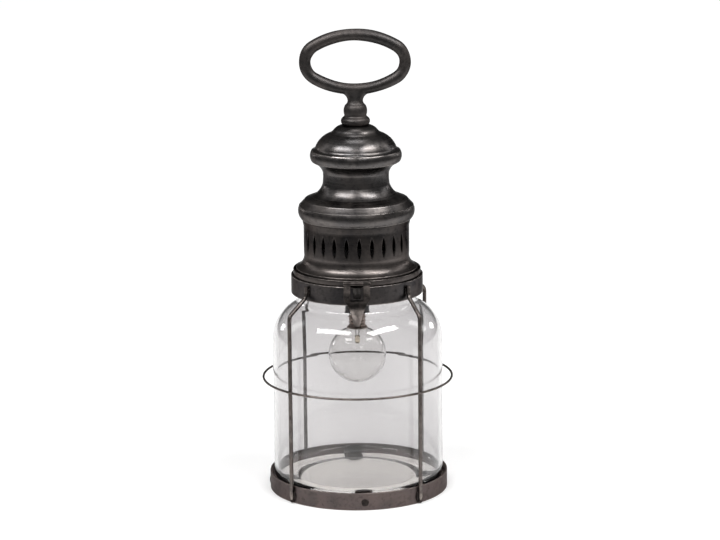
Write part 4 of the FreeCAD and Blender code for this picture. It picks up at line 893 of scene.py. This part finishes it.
def battery_cells():
    """Three cells side by side, each turned about its own axis along X: a can with rounded ends and a nub at
    the one end, which points the other way in the middle cell."""
    low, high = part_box("battery_cells")
    x0, x1, z = low.x / MM, high.x / MM, (low.z + high.z) / 2 / MM
    r = (high.z - low.z) / 2 / MM
    length, nub, nub_length = x1 - x0, 1.9, 0.8
    step = (high.y - low.y) / MM / 2 - r
    skin = rounded([(0.0, 0.0), (nub, 0.0), (nub, nub_length), (r - 0.1, nub_length), (r - 0.02, length),
                    (0.0, length)], 0.5)
    radius, along = skin[:, :1], skin[:, 1:]
    spin = np.linspace(0, math.tau, 49)
    cans = []
    for x, y in ((x0 + along, -step), (x1 - along, 0.0), (x0 + along, step)):
        rim = y + radius * np.cos(spin)
        can = np.stack([np.broadcast_to(x, rim.shape), rim, z + radius * np.sin(spin)], -1)
        cans.append(gridded(can))
    points, faces = joined(cans)
    surface("battery_cells_wrapped", points, faces, wrap_finish, "cage", "cell_wrap",
            ("battery_cells",), crease=40)


top_cap()
waist_cowl()
vent_gallery()
hood_pan()
handle()
rolled_band("collar_band", collar_finish, 0.12)
rolled_band("base_band", base_finish, 0.2)
posts()
guard_ring()
weld_beads()
rest_rivets()
glass_jar()
lamp_globe()
lamp_cap()
lamp_holder()
lamp_bead()
lamp_leads()
battery_cells()

# CAD nodes shown with eased corners: finish, slot, bevel in millimetres and nodes
EASED = (
    (hasp_finish, "latch_metal", 0.3, ["hasp"]),
    # the keeper's near-black finish is painted shade
    (keeper_painted_shade_finish, "latch_metal", 0.25, ["keeper"]),
    (latch_finish, "latch_metal", 0.2, ["hasp_bracket", "hasp_pin", "hinge_lower_leaf", "hinge_upper_leaf",
                                        "hinge_pin"]),
    (collar_finish, "band_metal", 0.15, ["neck_guide"]),
    (collar_finish, "band_metal", 0.2, ["lamp_plate"]),
    (brass_finish, "lamp_brass", 0.3, ["holder_nut"]),
    (black_finish, "black_plastic", 0.3, ["battery_case", "battery_cover"]),
    (white_finish, "switch_white", 0.2, ["timer_switch"]),
    (steel_finish, "bright_steel", 0.3, ["handle_nut"]),
    (steel_finish, "bright_steel", 0.2, ["handle_washer"]),
    (weld_finish, "latch_metal", 0.25, ["jar_rest_front", "jar_rest_right", "jar_rest_back",
                                        "jar_rest_left"]))
for finish, slot, bevel, nodes in EASED:
    for node in nodes:
        eased(node, finish, bevel)

# CAD nodes shown as they are
KEPT = ((steel_finish, ["handle_stud", "case_screws", "plate_screws", "battery_contacts", "holder_contact"]),
        (brass_finish, ["holder_shell", "lamp_tip"]),
        (insulator_finish, ["lamp_insulator"]),
        (lamp_finish, ["lamp_stem"]))
for finish, nodes in KEPT:
    for node in nodes:
        slots = frame["nodes"][node].data.materials
        slots.clear()
        slots.append(finish)


# ---- floor, light and camera, in metres ----------------------------------------------------------
LOOK_DOWN = 12.71            # degrees that the camera looks below level
CAMERA_ROLL = -0.5           # degrees about its own line of sight
CAMERA_PLACE = (0.0025, -2.2, 0.6693)
LAMPS_FACE = Vector((0, 0, 0.16))


def pale_floor():
    """Floor sheet that stays white to the eye behind the lantern and keeps its shadow. In front of the
    lantern and far to its sides its colour fades to grey, painted shade like the fall-off at the ends of a
    lit sweep;
    the white part widens towards the back."""
    white_to, grey_from = 0.42, 1.10             # to the side
    grey_before, white_after = -0.52, -0.17      # along Y
    material = bpy.data.materials.new("pale floor")
    tree = emptied(material)
    where = object_place(tree)
    split = add(tree, "SeparateXYZ", {0: where})
    across, back = split.outputs[0], split.outputs[1]
    aside = maths(tree, "ABSOLUTE", maths(tree, "SUBTRACT", across, 0.12), 0.0)
    widening = maths(tree, "MULTIPLY", maths(tree, "ADD", back, 0.3), 0.45)
    aside = maths(tree, "SUBTRACT", aside, widening)
    # lit: share of white in the floor's colour; where it falls below one, the grey is painted shade
    lit = maths(tree, "MULTIPLY", ranged(tree, aside, grey_from, white_to),
                ranged(tree, back, grey_before, white_after))
    white = mixed(tree, noise(tree, where, 3.0, 2.0), (0.80, 0.80, 0.80), (0.82, 0.82, 0.815))
    matt = add(tree, "BsdfDiffuse", {"Color": mixed(tree, lit, (0.13, 0.13, 0.13), white)})
    path = add(tree, "LightPath")
    seen = maths(tree, "ADD", path.outputs["Is Camera Ray"], path.outputs["Is Transmission Ray"])
    seen = maths(tree, "MINIMUM", maths(tree, "ADD", seen, path.outputs["Is Glossy Ray"]), 1.0)
    lift = maths(tree, "MULTIPLY", lit, ranged(tree, back, 0.0, 2.2, 0.24, 0.80))
    lift = maths(tree, "ADD", lift, ranged(tree, lit, 0.0, 1.0, 0.09, 0.0))
    glow = add(tree, "Emission", {"Color": (1, 1, 1), "Strength": maths(tree, "MULTIPLY", seen, lift)})
    both = add(tree, "AddShader", {0: matt.outputs[0], 1: glow.outputs[0]})
    add(tree, "OutputMaterial", {"Surface": both.outputs[0]})
    side = np.linspace(-9, 9, 13)
    x, y = np.meshgrid(side, side + 4)
    points, faces = gridded(np.stack([x, y, np.zeros_like(x)], -1))
    mesh = bpy.data.meshes.new("floor")
    mesh.from_pydata(points, [], faces.tolist())
    mesh.materials.append(material)
    placed("floor", mesh)


def soft_world():
    """Even light from all round, the same to every ray."""
    world = bpy.data.worlds.new("studio")
    tree = emptied(world)
    light = add(tree, "Background", {"Color": (1, 1, 1), "Strength": 0.15})
    add(tree, "OutputWorld", {"Surface": light.outputs[0]})
    bpy.context.scene.world = world


def lamp(name, azimuth, elevation, distance, width, height, radiance, roll=0.0, shape="RECTANGLE"):
    """Soft box at an azimuth from the front, facing the lantern; its power is radiance times area times pi.
    It lights and mirrors, but is not itself in view."""
    light = bpy.data.lights.new(name, "AREA")
    light.shape = shape
    light.size, light.size_y = width, height
    area = width * height * (math.pi / 4 if shape == "ELLIPSE" else 1)
    light.energy = radiance * area * math.pi
    made = placed(name, light)
    a, e = math.radians(azimuth), math.radians(elevation)
    place = Vector((math.sin(a) * math.cos(e), -math.cos(a) * math.cos(e), math.sin(e))) * distance
    made.location = LAMPS_FACE + place
    facing = (-place).to_track_quat("-Z", "Y").to_matrix() @ Matrix.Rotation(math.radians(roll), 3, "Z")
    made.rotation_euler = facing.to_euler()
    made.visible_camera = False


def camera():
    """Camera in front of the lantern, which looks down at it a little."""
    made = placed("camera", bpy.data.cameras.new("camera"))
    made.data.lens = 145.4
    made.data.sensor_width = 36.0
    made.data.clip_end = 50.0
    tilt = Matrix.Rotation(math.radians(90 - LOOK_DOWN), 4, "X")
    roll = Matrix.Rotation(math.radians(CAMERA_ROLL), 4, "Z")
    made.matrix_world = Matrix.Translation(CAMERA_PLACE) @ tilt @ roll
    bpy.context.scene.camera = made


pale_floor()
soft_world()
lamp("soft box left", -47, 53, 1.9, 1.40, 0.40, 13.0, roll=16)
lamp("soft box right", 53, 54, 1.9, 1.30, 0.40, 13.5)
lamp("window left", -14, 36, 1.9, 0.28, 0.24, 6.0)
lamp("window right", 19, 36, 1.9, 0.28, 0.24, 6.0)
lamp("side box left", -112, 28, 1.8, 0.35, 0.9, 1.4)
lamp("side box right", 112, 28, 1.8, 0.35, 0.9, 2.2)
lamp("top box", 180, 79, 1.9, 0.8, 0.6, 4.6)
lamp("shoulder light left", -132, 8, 1.8, 0.27, 0.27, 7.6, shape="ELLIPSE")
lamp("shoulder light right", 131, 9, 1.8, 0.27, 0.27, 7.6, shape="ELLIPSE")
camera()
bpy.context.scene.view_settings.view_transform = "Standard"
